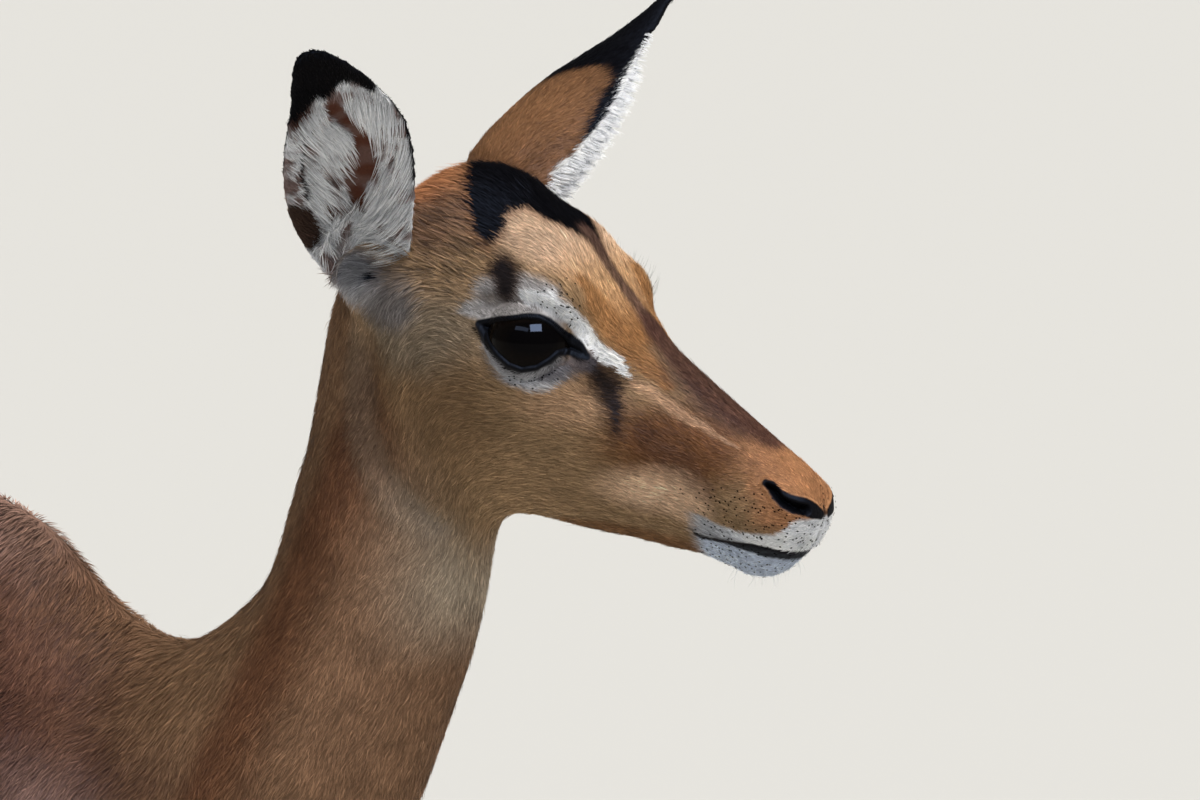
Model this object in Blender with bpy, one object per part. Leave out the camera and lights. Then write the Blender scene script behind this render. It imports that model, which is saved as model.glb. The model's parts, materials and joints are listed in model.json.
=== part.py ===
"""A young impala ewe standing still: the solids of a life-size museum model.

The body is lofted whole from named stations, relaxed into one skin, thinned out to flat facets and then
parted by boxes into head, neck, trunk, tail, ears and legs. Hooves and eyes are solids of their own.
+X is forwards, +Y is the ewe's left and +Z is up. Every table is in millimetres of an ewe 800 mm high.
"""

import math

import bmesh
import bpy
import numpy as np
from mathutils import Matrix, Vector

# ---- driving dimensions ----
WITHERS_HEIGHT = 0.800
MM = WITHERS_HEIGHT / 800
HEAD_CENTRE = (315, 859)  # x and z of the head's own origin, between the eyes and the cheek
HEAD_PITCH = math.radians(20)  # how far the head's long axis points down
EYE_RADIUS = 20
EAR_LENGTH = 148
CORONET = 35  # where hair ends and horn begins
GAP = 0.3  # between two solids that touch

# ---- fineness ----
SHARP_ANGLE = math.radians(50)  # faces that meet more steeply than this keep a crisp edge
VOXEL = 2.6
RING_POINTS = 40
RINGS_PER_STATION = 5
TRIANGLES = {"head": 2150, "neck": 480, "legs": 1410, "trunk": 1410}

# ---- stations: trunk sections are upright, and go from rump to breast ----
# x, top, bottom, half width, pinch of the upper half, pinch of the lower half
TRUNK = {
    "point of buttock": (-604, 700, 628, 24, 0.0, 0.0),
    "tail root": (-588, 748, 596, 54, 0.2, 0.1),
    "pin bones": (-552, 780, 572, 78, 0.25, 0.1),
    "croup": (-492, 800, 552, 92, 0.3, 0.15),
    "hip bones": (-420, 800, 530, 90, 0.3, 0.2),
    "loin": (-340, 790, 499, 90, 0.25, 0.2),
    "last rib": (-255, 781, 472, 98, 0.2, 0.2),
    "middle ribs": (-170, 779, 456, 101, 0.2, 0.25),
    "girth": (-90, 786, 451, 96, 0.3, 0.25),
    "withers": (-8, 800, 455, 85, 0.62, 0.28),
    "shoulder": (42, 783, 464, 80, 0.68, 0.3),
    "neck root": (72, 756, 474, 75, 0.65, 0.3),
    "dip": (110, 738, 490, 66, 0.6, 0.3),
    "breast": (152, 712, 524, 60, 0.4, 0.2),
    "point of breast": (182, 704, 564, 50, 0.3, 0.1),
    "front": (201, 692, 604, 34, 0.2, 0.0),
    "prow": (212, 678, 634, 14, 0.1, 0.0),
}
# axis x, axis z, half depth to the throat, half depth to the nape, half width
NECK = {
    "inside the trunk": (55, 640, 84, 60, 56),
    "root": (115, 673, 88, 58, 57),
    "base": (160, 708, 76, 54, 49),
    "lower": (190, 748, 60, 45, 43),
    "middle": (207, 787, 51, 47, 39),
    "upper": (218, 826, 47, 46, 37),
    "throat": (225, 865, 44, 45, 37),
    "behind the jaw": (231, 900, 38, 42, 35),
    "under the poll": (238, 928, 28, 32, 27),
}
# along the head's axis, top, bottom, half width, pinch of the upper half, pinch of the lower half
HEAD = {
    "nape": (-119, 45, 2, 20, 0.0, 0.0),
    "poll": (-106, 63, -28, 32, 0.1, 0.1),
    "ears": (-86, 73, -52, 38, 0.1, 0.25),
    "crown": (-66, 75, -67, 41, 0.1, 0.4),
    "jaw angle": (-46, 70, -71, 42, 0.0, 0.48),
    "eyes": (-25, 61, -67, 42, -0.15, 0.52),
    "front of the orbit": (-7, 51.5, -62, 36.5, -0.25, 0.5),
    "tear pit": (10, 43, -57, 32.5, 0.0, 0.45),
    "stop": (22, 37, -53, 28.5, 0.1, 0.42),
    "bridge": (36, 33, -49, 25, 0.15, 0.38),
    "middle of the muzzle": (53, 28.5, -45.5, 22, 0.15, 0.35),
    "corner of the mouth": (70, 24, -41.5, 20, 0.1, 0.3),
    "lips": (84, 20, -40, 19, 0.05, 0.25),
    "chin": (96, 16.5, -38, 18.5, 0.0, 0.2),
    "nostrils": (105, 13, -32, 17.5, 0.0, 0.15),
    "nose pad": (111, 8.5, -24, 14.5, 0.0, 0.1),
    "nose tip": (115, 3, -17, 10, 0.0, 0.0),
    "front": (117, -3, -12, 4, 0.0, 0.0),
}
# axis x, axis z, side offset, half depth, half width; the foot's own steps shift it later
FRONT_LEG = {
    "shoulder blade": (-6, 752, 22, 26, 14),
    "blade's middle": (14, 705, 42, 44, 25),
    "blade's foot": (38, 655, 54, 56, 30),
    "shoulder point": (60, 600, 59, 57, 32),
    "upper arm": (38, 545, 60, 56, 33),
    "elbow": (8, 487, 58, 43, 29),
    "forearm": (8, 440, 57, 31, 23.5),
    "middle of the forearm": (13, 375, 55, 22, 18),
    "above the knee": (18, 325, 54, 16.5, 15.5),
    "knee": (20, 297, 53, 18.5, 17.5),
    "below the knee": (17, 266, 53, 14, 13.5),
    "cannon": (16, 195, 52, 11.5, 10.5),
    "above the fetlock": (18, 128, 52, 12, 11.5),
    "fetlock": (21, 99, 52, 15.5, 14),
    "pastern": (32, 67, 52, 12, 12.5),
    "coronet": (42, 38, 52, 15.5, 16),
    "sole": (46, 20, 52, 16, 16),
}
HIND_LEG = {
    "hip": (-486, 752, 34, 52, 24),
    "rump": (-488, 712, 50, 82, 36),
    "upper thigh": (-492, 665, 59, 96, 42),
    "thigh": (-488, 595, 64, 95, 43),
    "stifle": (-481, 525, 66, 84, 36),
    "upper gaskin": (-496, 468, 62, 63, 29),
    "gaskin": (-524, 410, 59, 39, 22),
    "above the hock": (-557, 364, 57, 25, 15.5),
    "hock": (-577, 328, 56, 22.5, 17.5),
    "below the hock": (-580, 286, 55, 16.5, 14),
    "cannon": (-573, 205, 54, 12.5, 11.5),
    "above the fetlock": (-567, 132, 54, 12.5, 12),
    "fetlock": (-565, 102, 54, 16, 14.5),
    "pastern": (-553, 68, 54, 12.5, 12.5),
    "coronet": (-543, 38, 54, 15.5, 16),
    "sole": (-539, 20, 54, 16, 16),
}
STEP_TOP = {"front": 470, "hind": 500}
STEPS = {"front_left": 26, "front_right": -8, "hind_left": 30, "hind_right": -26}
# axis x, axis z, half depth, half width
TAIL = {
    "inside the rump": (-566, 748, 12, 14),
    "root": (-597, 741, 13, 16),
    "bend": (-617, 714, 12, 17),
    "upper tail": (-627, 660, 11, 18),
    "middle": (-630, 590, 11, 20),
    "brush": (-630, 520, 11, 19),
    "tip": (-628, 462, 8, 12),
    "end": (-626, 438, 3, 4),
}
# share of the ear's length, sideways shift, half chord, depth of the cup, thickness
EAR = {
    "right": {
        "inside the head": (-0.16, 0, 11, 11, 6),
        "base": (0.0, -1.6, 13, 14, 6),
        "notch": (0.10, -2.6, 18.7, 17, 5.5),
        "lower cup": (0.25, -2.8, 25.2, 18, 5),
        "cup": (0.42, -0.7, 28.2, 16, 4.4),
        "upper cup": (0.60, 2.1, 26.2, 12.5, 4.0),
        "shoulder of the tip": (0.78, 1.8, 18.5, 8, 3.6),
        "tip": (0.92, -1.4, 11.9, 3.6, 3.2),
        "end": (1.0, -3.4, 5.4, 0.8, 2.4),
    },
    "left": {
        "inside the head": (-0.16, 0, 11, 11, 6),
        "base": (0.0, 0.8, 13, 14, 6),
        "notch": (0.10, 1.0, 19.9, 17.2, 5.5),
        "lower cup": (0.25, 1.0, 27.9, 22.2, 5),
        "cup": (0.42, 0.5, 30.2, 18.1, 4.4),
        "upper cup": (0.60, 0.3, 24.7, 12.4, 4.0),
        "shoulder of the tip": (0.78, 1.4, 12.6, 3.9, 3.6),
        "tip": (0.92, 1.1, 5.6, 2.0, 3.2),
        "end": (1.0, 1.3, 3.0, 1.6, 2.4),
    },
}
EAR_CUT = 8  # how far up its axis the ear becomes a solid of its own
# Ear bases, tips and openings, in head-centred world directions
EAR_BASE = (-86, 40, 49)
EAR_AIM = {"right": (28, -93, 110), "left": (51, 86, 110)}
EAR_OPENS = {"right": (0.50, -0.85, 0.10), "left": (0.36, 0.90, -0.05)}
EAR_BULB = 19
EYE_CENTRE = (-17, 27, 28)
EYE_TURNS = (16, 9)
# One claw from coronet to sole: height, toe, heel and width
CLAW = {
    "top": (CORONET - GAP, 14.0, -14.5, 13.5),
    "wall": (18, 25.0, -16.5, 14.7),
    "edge": (1.5, 34.5, -16.5, 15.0),
    "sole": (0, 33.0, -15.5, 14.2),
}
CLAW_GAP = 1.2
CLAW_SPLAY = math.radians(4)
CLAW_POINTS = 12
TOE_POINT = 0.6  # how much narrower the claw is at its toe


def head_point(along, above, side=0.0):
    """A place given on the head's own axes, in the body's millimetres."""
    x = along * math.cos(HEAD_PITCH) + above * math.sin(HEAD_PITCH)
    z = -along * math.sin(HEAD_PITCH) + above * math.cos(HEAD_PITCH)
    return np.array((HEAD_CENTRE[0] + x, side, HEAD_CENTRE[1] + z))


def beside_head(x, y, z):
    """A place given from the head's origin along the world's axes."""
    return np.array((HEAD_CENTRE[0] + x, y, HEAD_CENTRE[1] + z))


def eased(table, per_station=RINGS_PER_STATION):
    """The table's rows with smooth rows put between them, by cubic Hermite pieces."""
    rows = np.array(list(table.values()), float)
    steps = np.linalg.norm(np.diff(rows[:, :2], axis=0), axis=1)
    at = np.concatenate([[0.0], np.cumsum(steps)])
    slopes = np.gradient(rows, at, axis=0)
    made = []
    for i, length in enumerate(steps):
        for share in np.arange(per_station) / per_station:
            a = 2 * share**3 - 3 * share**2 + 1
            b = share**3 - 2 * share**2 + share
            c = -2 * share**3 + 3 * share**2
            d = share**3 - share**2
            made.append(
                a * rows[i] + b * length * slopes[i] + c * rows[i + 1] + d * length * slopes[i + 1]
            )
    made.append(rows[-1])
    return np.array(made)


def ring(centre, up, side, top, bottom, width, pinch_top=0.0, pinch_bottom=0.0):
    """One closed section: an oval whose upper and lower halves may differ."""
    angle = 2 * math.pi * np.arange(RING_POINTS) / RING_POINTS
    rise, spread = np.cos(angle), np.sin(angle)
    height = np.where(rise > 0, top * rise, bottom * rise)
    narrow = 1 - pinch_top * np.maximum(rise, 0) - pinch_bottom * np.maximum(-rise, 0)
    return centre + np.outer(height, up) + np.outer(width * spread * narrow, side)


def mesh_object(name, points, faces):
    mesh = bpy.data.meshes.new(name)
    mesh.from_pydata([tuple(p) for p in np.asarray(points) * MM], [], faces)
    made = bpy.data.objects.new(name, mesh)
    bpy.context.scene.collection.objects.link(made)
    bm = bmesh.new()
    bm.from_mesh(mesh)
    bmesh.ops.recalc_face_normals(bm, faces=bm.faces)
    bm.to_mesh(mesh)
    bm.free()
    return made


def tube(name, rings, capped=True):
    """A skin over closed rings of the same count, with its two ends filled."""
    count = len(rings[0])
    faces = []
    for i in range(len(rings) - 1):
        for k in range(count):
            j = (k + 1) % count
            faces.append((i * count + k, i * count + j, (i + 1) * count + j, (i + 1) * count + k))
    if capped:
        faces.append(tuple(range(count)))
        faces.append(tuple((len(rings) - 1) * count + k for k in range(count)))
    return mesh_object(name, np.concatenate(rings), faces)


def trunk_tube():
    up, side = np.array((0, 0, 1.0)), np.array((0, 1.0, 0))
    rings = []
    for x, top, bottom, width, pinch_top, pinch_bottom in eased(TRUNK):
        half = (top - bottom) / 2
        rings.append(ring((x, 0, bottom + half), up, side, half, half, width, pinch_top, pinch_bottom))
    return tube("trunk_loft", rings)


def head_tube():
    up, side = head_point(0, 1) - head_point(0, 0), np.array((0, 1.0, 0))
    rings = []
    for along, top, bottom, width, pinch_top, pinch_bottom in eased(HEAD):
        half = (top - bottom) / 2
        centre = head_point(along, bottom + half)
        rings.append(ring(centre, up, side, half, half, width, pinch_top, pinch_bottom))
    return tube("head_loft", rings)


def bent_tube(name, centres, fronts, backs, widths):
    """A tube along a path, each ring square to it; fronts lie ahead of the path and backs behind it."""
    path = np.asarray(centres, float)
    along = np.gradient(path, axis=0)
    along /= np.linalg.norm(along, axis=1)[:, None]
    side = np.array((0, 1.0, 0))
    rings = []
    for centre, way, front, back, width in zip(path, along, fronts, backs, widths, strict=True):
        forwards = np.cross(side, way)
        forwards /= np.linalg.norm(forwards)
        rings.append(ring(centre, forwards, side, front, back, width))
    return tube(name, rings)


def neck_tube():
    x, z, front, back, width = eased(NECK).T
    return bent_tube("neck_loft", np.stack([x, 0 * x, z], 1), front, back, width)


def leg_tube(name, table, top, step, sign):
    x, z, offset, depth, width = eased(table).T
    x = x + step * np.clip(1 - z / top, 0, 1)
    return bent_tube(name, np.stack([x, sign * offset, z], 1)[::-1], depth[::-1], depth[::-1], width[::-1])


def tail_tube():
    x, z, depth, width = eased(TAIL).T
    return bent_tube("tail_loft", np.stack([x, 0 * x, z], 1), depth, depth, width)


def unit(vector):
    vector = np.asarray(vector, float)
    return vector / np.linalg.norm(vector)


def ear_frame(side):
    """The ear's base, its long axis, its opening and the direction across it."""
    sign = -1 if side == "right" else 1
    base = beside_head(EAR_BASE[0], sign * EAR_BASE[1], EAR_BASE[2])
    axis = unit(EAR_AIM[side])
    opening = np.array(EAR_OPENS[side])
    opening = unit(opening - axis * (opening @ axis))
    return base, axis, opening, np.cross(axis, opening)


def ear_tube(name, side, steps, turns, reach=EAR_LENGTH):
    """A cupped leaf: each section is an arc with an outer and an inner wall that close to a thin rim."""
    base, axis, opening, across = ear_frame(side)
    rows = eased({name: (EAR_LENGTH * row[0], *row[1:]) for name, row in EAR[side].items()}, steps)
    rows = rows[rows[:, 0] <= reach]
    turn = np.linspace(-1, 1, turns)
    rings = []
    for along, shift, chord, cup, thick in rows:
        half_angle = 2 * math.atan2(cup, chord)
        radius = chord / math.sin(half_angle)
        bow = 5 * math.sin(math.pi * max(along, 0) / EAR_LENGTH)
        centre = base + axis * along - opening * bow + across * shift
        half = thick / 2 * (1 - 0.55 * turn**4)
        walls = []
        for wall, order in ((radius + half, turn), (radius - half[::-1], turn[::-1])):
            sideways = np.outer(wall * np.sin(order * half_angle), across)
            backwards = np.outer(radius * math.cos(half_angle) - wall * np.cos(order * half_angle), opening)
            walls.append(centre + sideways + backwards)
        rings.append(np.concatenate(walls))
    made = tube(name, rings, capped=False)
    cap_arc_ends(made, len(rings), len(turn))
    return made


def cap_arc_ends(obj, rings, per_wall):
    """Closes an arc section with quads between its two walls."""
    bm = bmesh.new()
    bm.from_mesh(obj.data)
    bm.verts.ensure_lookup_table()
    count = 2 * per_wall
    for first in (0, (rings - 1) * count):
        for k in range(per_wall - 1):
            corners = (k, k + 1, count - 2 - k, count - 1 - k)
            bm.faces.new([bm.verts[first + c] for c in corners])
    bmesh.ops.recalc_face_normals(bm, faces=bm.faces)
    bm.to_mesh(obj.data)
    bm.free()


def ball(name, centre, radii, turns=(32, 20)):
    bm = bmesh.new()
    bmesh.ops.create_uvsphere(bm, u_segments=turns[0], v_segments=turns[1], radius=1.0)
    for vertex in bm.verts:
        vertex.co = Vector(np.asarray(centre) + np.asarray(radii) * np.array(vertex.co)) * MM
    mesh = bpy.data.meshes.new(name)
    bm.to_mesh(mesh)
    bm.free()
    made = bpy.data.objects.new(name, mesh)
    bpy.context.scene.collection.objects.link(made)
    return made


def ear_bulb(side):
    base, axis, opening, _ = ear_frame(side)
    return ball("ear_bulb_" + side, base - axis * 2 - opening * 6, (EAR_BULB, EAR_BULB - 1, EAR_BULB + 3))


def evaluated_mesh(obj):
    graph = bpy.context.evaluated_depsgraph_get()
    return bpy.data.meshes.new_from_object(obj.evaluated_get(graph))


def with_modifier(obj, kind, **settings):
    """Runs one modifier on the object and keeps its result."""
    modifier = obj.modifiers.new(kind.lower(), kind)
    for name, value in settings.items():
        setattr(modifier, name, value)
    bpy.context.view_layer.update()
    mesh = evaluated_mesh(obj)
    obj.modifiers.clear()
    old, obj.data = obj.data, mesh
    bpy.data.meshes.remove(old)
    return obj


def points_of(mesh):
    found = np.empty(len(mesh.vertices) * 3, np.float32)
    mesh.vertices.foreach_get("co", found)
    return found.reshape(-1, 3).astype(float)


def set_points(mesh, points):
    mesh.vertices.foreach_set("co", points.astype(np.float32).ravel())
    mesh.update()


def relax(mesh, weights, passes):
    """Moves each vertex towards its neighbours' middle, as far as its weight says."""
    ends = np.empty(len(mesh.edges) * 2, np.int32)
    mesh.edges.foreach_get("vertices", ends)
    a, b = ends.reshape(-1, 2).T
    points = points_of(mesh)
    shared = np.bincount(a, minlength=len(points)) + np.bincount(b, minlength=len(points))
    for _ in range(passes):
        middle = np.stack(
            [
                np.bincount(a, points[b, k], len(points)) + np.bincount(b, points[a, k], len(points))
                for k in range(3)
            ],
            1,
        )
        points += weights[:, None] * (middle / shared[:, None] - points)
    set_points(mesh, points)


def falloff(points, centre, radius):
    """1 at the centre, easing to 0 at the radius."""
    far = np.linalg.norm((points - np.asarray(centre) * MM) / (np.asarray(radius) * MM), axis=1)
    near = np.clip(1 - far, 0, 1)
    return near * near * (3 - 2 * near)


# Where lofts meet and flesh runs over: centre and reach. Those off the middle are mirrored.
JOINS = {
    "shoulder": ((40, 85, 590), 150),
    "armpit": ((5, 45, 470), 80),
    "shoulder blade": ((10, 70, 710), 120),
    "behind the shoulder": ((-50, 80, 600), 110),
    "thigh": ((-450, 85, 620), 180),
    "buttock": ((-560, 50, 600), 120),
    "back of the thigh": ((-552, 60, 525), 90),
    "flank": ((-390, 70, 545), 90),
    "groin": ((-450, 35, 520), 90),
    "hip": ((-480, 60, 740), 130),
    "neck root": ((110, 0, 690), 170),
    "breast": ((208, 0, 650), 150),
    "side of the neck root": ((160, 45, 665), 120),
    "throat": ((262, 0, 812), 60),
    "jaw": ((236, 38, 845), 64),
    "nape": ((215, 0, 930), 60),
}
JOIN_PASSES = 90
SMALL_JOINS = {
    "tail root": ((-600, 0, 740), 40),
    "ear root": ((230, 43, 900), 38),
}
SMALL_JOIN_PASSES = 36
# What muscle and bone add or take away: centre, reach, height above the loft
FORMS = {
    "brow": ((314, 35, 908), (21, 16, 13), 8.4),
    "brow front": ((322, 28, 901), (14, 12, 14), 1.6),
    "forehead side": ((306, 18, 927), (18, 13, 14), 3.6),
    "cheekbone": ((312, 44, 866), (26, 14, 10), 3.0),
    "tear pit": ((340, 29, 868), (14, 12, 9), -2.2),
    "jaw muscle": ((262, 40, 848), (34, 20, 34), 3.0),
    "temple": ((272, 34, 918), (16, 14, 14), -1.5),
    "hollow behind the jaw": ((222, 38, 838), (20, 22, 40), -3.0),
    "nostril": ((421, 14, 826), (11, 9, 9), 2.2),
    "upper lip": ((411, 16, 811), (16, 9, 7), 1.6),
    "chin": ((398, 8, 793), (15, 14, 9), 1.5),
    "muzzle side": ((368, 21, 825), (26, 10, 14), -1.8),
    "forehead": ((299, 0, 927), (24, 22, 18), 1.5),
    "windpipe": ((256, 0, 760), (26, 26, 70), 2.5),
    "neck groove": ((232, 36, 745), (20, 22, 70), -3.0),
    "blade ridge": ((12, 80, 680), (24, 22, 70), 3.0),
    "shoulder point": ((92, 62, 606), (34, 34, 34), 6.0),
    "elbow": ((-34, 70, 492), (22, 20, 26), 6.0),
    "behind the elbow": ((-66, 74, 510), (40, 26, 60), -4.0),
    "hip bone": ((-412, 62, 778), (34, 30, 30), 6.5),
    "flank hollow": ((-372, 88, 640), (50, 30, 90), -7.0),
    "thigh muscle": ((-500, 98, 620), (70, 30, 80), 4.0),
    "kneecap": ((-405, 72, 522), (26, 26, 28), 6.0),
    "heel": ((-600, 56, 338), (12, 12, 16), 7.0),
    "sinew": ((-592, 56, 380), (16, 16, 34), -2.0),
    "loin": ((-330, 34, 786), (70, 30, 20), 2.5),
    "spine": ((-240, 0, 786), (210, 12, 18), 1.8),
}


def both_sides(table):
    for row in table.values():
        for sign in (1, -1) if row[0][1] else (1,):
            yield (row[0][0], sign * row[0][1], row[0][2]), *row[1:]


def shape_flesh(mesh):
    """Blends the lofts where they meet, then adds the forms of muscle and bone."""
    for joins, passes in ((JOINS, JOIN_PASSES), (SMALL_JOINS, SMALL_JOIN_PASSES)):
        points = points_of(mesh)
        weights = np.zeros(len(points))
        for centre, reach in both_sides(joins):
            weights = np.maximum(weights, falloff(points, centre, (reach,) * 3))
        relax(mesh, 0.6 * np.minimum(1.6 * weights, 1), passes)
    points = points_of(mesh)
    normals = np.empty(len(points) * 3, np.float32)
    mesh.vertices.foreach_get("normal", normals)
    normals = normals.reshape(-1, 3)
    lift = np.zeros(len(points))
    for centre, reach, height in both_sides(FORMS):
        lift += height * MM * falloff(points, centre, np.array(reach) * 1.6)
    set_points(mesh, points + normals * lift[:, None])
    relax(mesh, np.full(len(points), 0.35), 3)


def triangle_count(mesh):
    return sum(len(face.vertices) - 2 for face in mesh.polygons)


def thin_out(body, chosen, triangles):
    """Collapses the chosen vertices' part of the mesh until the whole has that many triangles."""
    group = body.vertex_groups.new(name="chosen")
    group.add([int(i) for i in np.flatnonzero(chosen)], 1.0, "REPLACE")
    ratio = triangles / triangle_count(body.data)
    with_modifier(body, "DECIMATE", ratio=ratio, vertex_group="chosen", use_collapse_triangulate=True)
    body.vertex_groups.clear()


def regions(points):
    """Which vertices belong to each share of the triangles."""
    ahead = points @ np.array((0.927, 0, 0.376)) / MM
    x, z = points[:, 0] / MM, points[:, 2] / MM
    head = (ahead > 0.927 * 232 + 0.376 * 868) & (z > 740)
    neck = (x * 0.793 + z * 0.61 > 0.793 * 120 + 0.61 * 660) & (z > 640) & ~head
    legs = (z < 430) & (x > -620)
    return {"head": head, "neck": neck, "legs": legs, "trunk": ~(head | neck | legs)}


def whole_body():
    lofts = [trunk_tube(), neck_tube(), head_tube(), tail_tube()]
    for side in ("right", "left"):
        lofts += [ear_tube("ear_root_" + side, side, 4, 15, EAR_CUT + 12), ear_bulb(side)]
    for name, sign in (("left", 1), ("right", -1)):
        lofts.append(leg_tube("f_" + name, FRONT_LEG, STEP_TOP["front"], STEPS["front_" + name], sign))
        lofts.append(leg_tube("h_" + name, HIND_LEG, STEP_TOP["hind"], STEPS["hind_" + name], sign))
    body = lofts[0]
    bm = bmesh.new()
    for loft in lofts:
        bm.from_mesh(loft.data)
    bmesh.ops.triangulate(bm, faces=[f for f in bm.faces if len(f.verts) > 4])
    bm.to_mesh(body.data)
    bm.free()
    for loft in lofts[1:]:
        bpy.data.objects.remove(loft)
    body.name = "body"
    with_modifier(body, "REMESH", mode="VOXEL", voxel_size=VOXEL * MM, use_smooth_shade=False)
    shape_flesh(body.data)
    left = triangle_count(body.data)
    for name, share in TRIANGLES.items():
        chosen = regions(points_of(body.data))[name]
        inside = sum(len(face.vertices) - 2 for face in body.data.polygons if chosen[face.vertices[0]])
        thin_out(body, chosen, left - inside + share)
        left = triangle_count(body.data)
        print(name, "thinned from", inside, "- the whole has", left)
    return body


def box_between(name, low, high, matrix=None):
    """A box with its corners on its own axes, which the matrix then places; lengths in millimetres."""
    bm = bmesh.new()
    bmesh.ops.create_cube(bm, size=1.0)
    low, high = np.array(low, float), np.array(high, float)
    for vertex in bm.verts:
        vertex.co = Vector((low + (high - low) * (np.array(vertex.co) + 0.5)) * MM)
    if matrix is not None:
        bm.transform(matrix)
    mesh = bpy.data.meshes.new(name)
    bm.to_mesh(mesh)
    bm.free()
    made = bpy.data.objects.new(name, mesh)
    bpy.context.scene.collection.objects.link(made)
    made.hide_render = True
    made.display_type = "WIRE"
    return made


def placed(origin, forwards, side=(0, 1, 0)):
    """A matrix whose X axis points forwards from the origin, which is in millimetres."""
    x = Vector(forwards).normalized()
    y = Vector(side)
    y = (y - x * y.dot(x)).normalized()
    z = x.cross(y)
    turn = Matrix((x, y, z)).transposed().to_4x4()
    return Matrix.Translation(Vector(origin) * MM) @ turn


def cut_boxes():
    """Each node's box in turn, as low corner, high corner and placing; what is left is the trunk."""
    boxes = {}
    boxes["head"] = ((0, -75, -190), (260, 75, 110), placed((229, 0, 872), (0.927, 0, 0.376)))
    boxes["neck"] = ((0, -110, -125), (330, 110, 260), placed((148, 0, 686), (0.793, 0, 0.61)))
    boxes["tail"] = ((-710, -40, 400), (-609, 40, 800), None)
    for side, low, high in (("right", -140, -24), ("left", 24, 140)):
        boxes["front_leg_" + side] = ((-70, low, -10), (110, high, 438), None)
    for side, low, high in (("right", -150, -0.15), ("left", 0.15, 150)):
        placing = placed((-372, 0, 492), (-0.887, 0, 0.461))
        boxes["hind_leg_" + side] = ((-220, low, 0), (330, high, 620), placing)
    return boxes


def boolean(obj, cutter, operation):
    return with_modifier(obj, "BOOLEAN", operation=operation, object=cutter, solver="EXACT")


def copy_of(obj, name):
    made = bpy.data.objects.new(name, obj.data.copy())
    bpy.context.scene.collection.objects.link(made)
    return made


def keep_largest(obj):
    """Drops the crumbs that a cut can leave."""
    bm = bmesh.new()
    bm.from_mesh(obj.data)
    bm.faces.ensure_lookup_table()
    seen, islands = set(), []
    for face in bm.faces:
        if face.index in seen:
            continue
        island, todo = [], [face]
        seen.add(face.index)
        while todo:
            found = todo.pop()
            island.append(found)
            for edge in found.edges:
                for other in edge.link_faces:
                    if other.index not in seen:
                        seen.add(other.index)
                        todo.append(other)
        islands.append(island)
    islands.sort(key=len)
    for island in islands[:-1]:
        bmesh.ops.delete(bm, geom=island, context="FACES")
    bmesh.ops.dissolve_degenerate(bm, dist=1e-6, edges=bm.edges)
    bm.to_mesh(obj.data)
    bm.free()


def taken(source, name, low, high, placing):
    """A piece of the source: what lies inside the box."""
    inner = box_between(name + "_box", low, high, placing)
    source.name = name
    boolean(source, inner, "INTERSECT")
    keep_largest(source)
    bpy.data.objects.remove(inner)
    return source


def part_body(body):
    """Takes each box's flesh out of the body and leaves a thin gap round it."""
    pieces = {}
    for side in ("right", "left"):
        base, axis, _, across = ear_frame(side)
        placing = placed(base + axis * EAR_CUT, axis, across)
        name = "ear_" + side
        ear = ear_tube(name, side, 2, 9)
        pieces[name] = taken(ear, name, (0, -46, -46), (180, 46, 46), placing)
        clear = box_between(name + "_gap", (-GAP, -22, -22), (30, 22, 22), placing)
        boolean(body, clear, "DIFFERENCE")
        bpy.data.objects.remove(clear)
    for name, (low, high, placing) in cut_boxes().items():
        pieces[name] = taken(copy_of(body, name), name, low, high, placing)
        outer = box_between(name + "_gap", np.array(low) - GAP, np.array(high) + GAP, placing)
        boolean(body, outer, "DIFFERENCE")
        bpy.data.objects.remove(outer)
    keep_largest(body)
    body.name = "trunk"
    pieces["trunk"] = body
    return pieces


def eyes(head):
    """Balls in sockets: each socket is the ball's own shape and a gap larger."""
    made = {}
    for side, sign in (("right", -1), ("left", 1)):
        centre = beside_head(EYE_CENTRE[0], sign * EYE_CENTRE[1], EYE_CENTRE[2])
        socket = ball("socket", centre, (EYE_RADIUS + GAP,) * 3, EYE_TURNS)
        socket.hide_render = True
        boolean(head, socket, "DIFFERENCE")
        bpy.data.objects.remove(socket)
        made["eye_" + side] = ball("eye_" + side, centre, (EYE_RADIUS,) * 3, EYE_TURNS)
    keep_largest(head)
    return made


def claw(name, centre_x, centre_y, outwards):
    """Half of a cloven hoof: a pointed toe, a round heel and a nearly straight inner wall."""
    rings = []
    turn = 2 * math.pi * np.arange(CLAW_POINTS) / CLAW_POINTS
    along, across = np.cos(turn), np.sin(turn)
    taper = 1 - TOE_POINT * np.maximum(along, 0) ** 2
    for height, toe, heel, width in CLAW.values():
        x = (toe + heel) / 2 + (toe - heel) / 2 * along
        y = CLAW_GAP + width / 2 * (1 + across * taper - 0.85 * (1 - taper))
        c, s = math.cos(CLAW_SPLAY), math.sin(CLAW_SPLAY)
        x, y = x * c - y * s, x * s + y * c
        rings.append(np.stack([centre_x + x, centre_y + outwards * y, np.full(CLAW_POINTS, height)], 1))
    return tube(name, rings[::-1])


def hooves():
    made = {}
    for end, table in (("front", FRONT_LEG), ("hind", HIND_LEG)):
        x, _, offset = table["coronet"][:3]
        for side, sign in (("right", -1), ("left", 1)):
            step = STEPS[f"{end}_{side}"]
            for place, outwards in (("outer", sign), ("inner", -sign)):
                name = f"hoof_{end}_{side}_{place}"
                made[name] = claw(name, x + step, sign * offset, outwards)
    return made


def level_feet(pieces):
    """Ends the legs flat at the coronet, where the hooves begin."""
    cutter = box_between("floor_box", (-800, -300, -50), (400, 300, CORONET), None)
    for name, piece in pieces.items():
        if "leg" in name:
            boolean(piece, cutter, "DIFFERENCE")
            keep_largest(piece)
    bpy.data.objects.remove(cutter)


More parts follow.
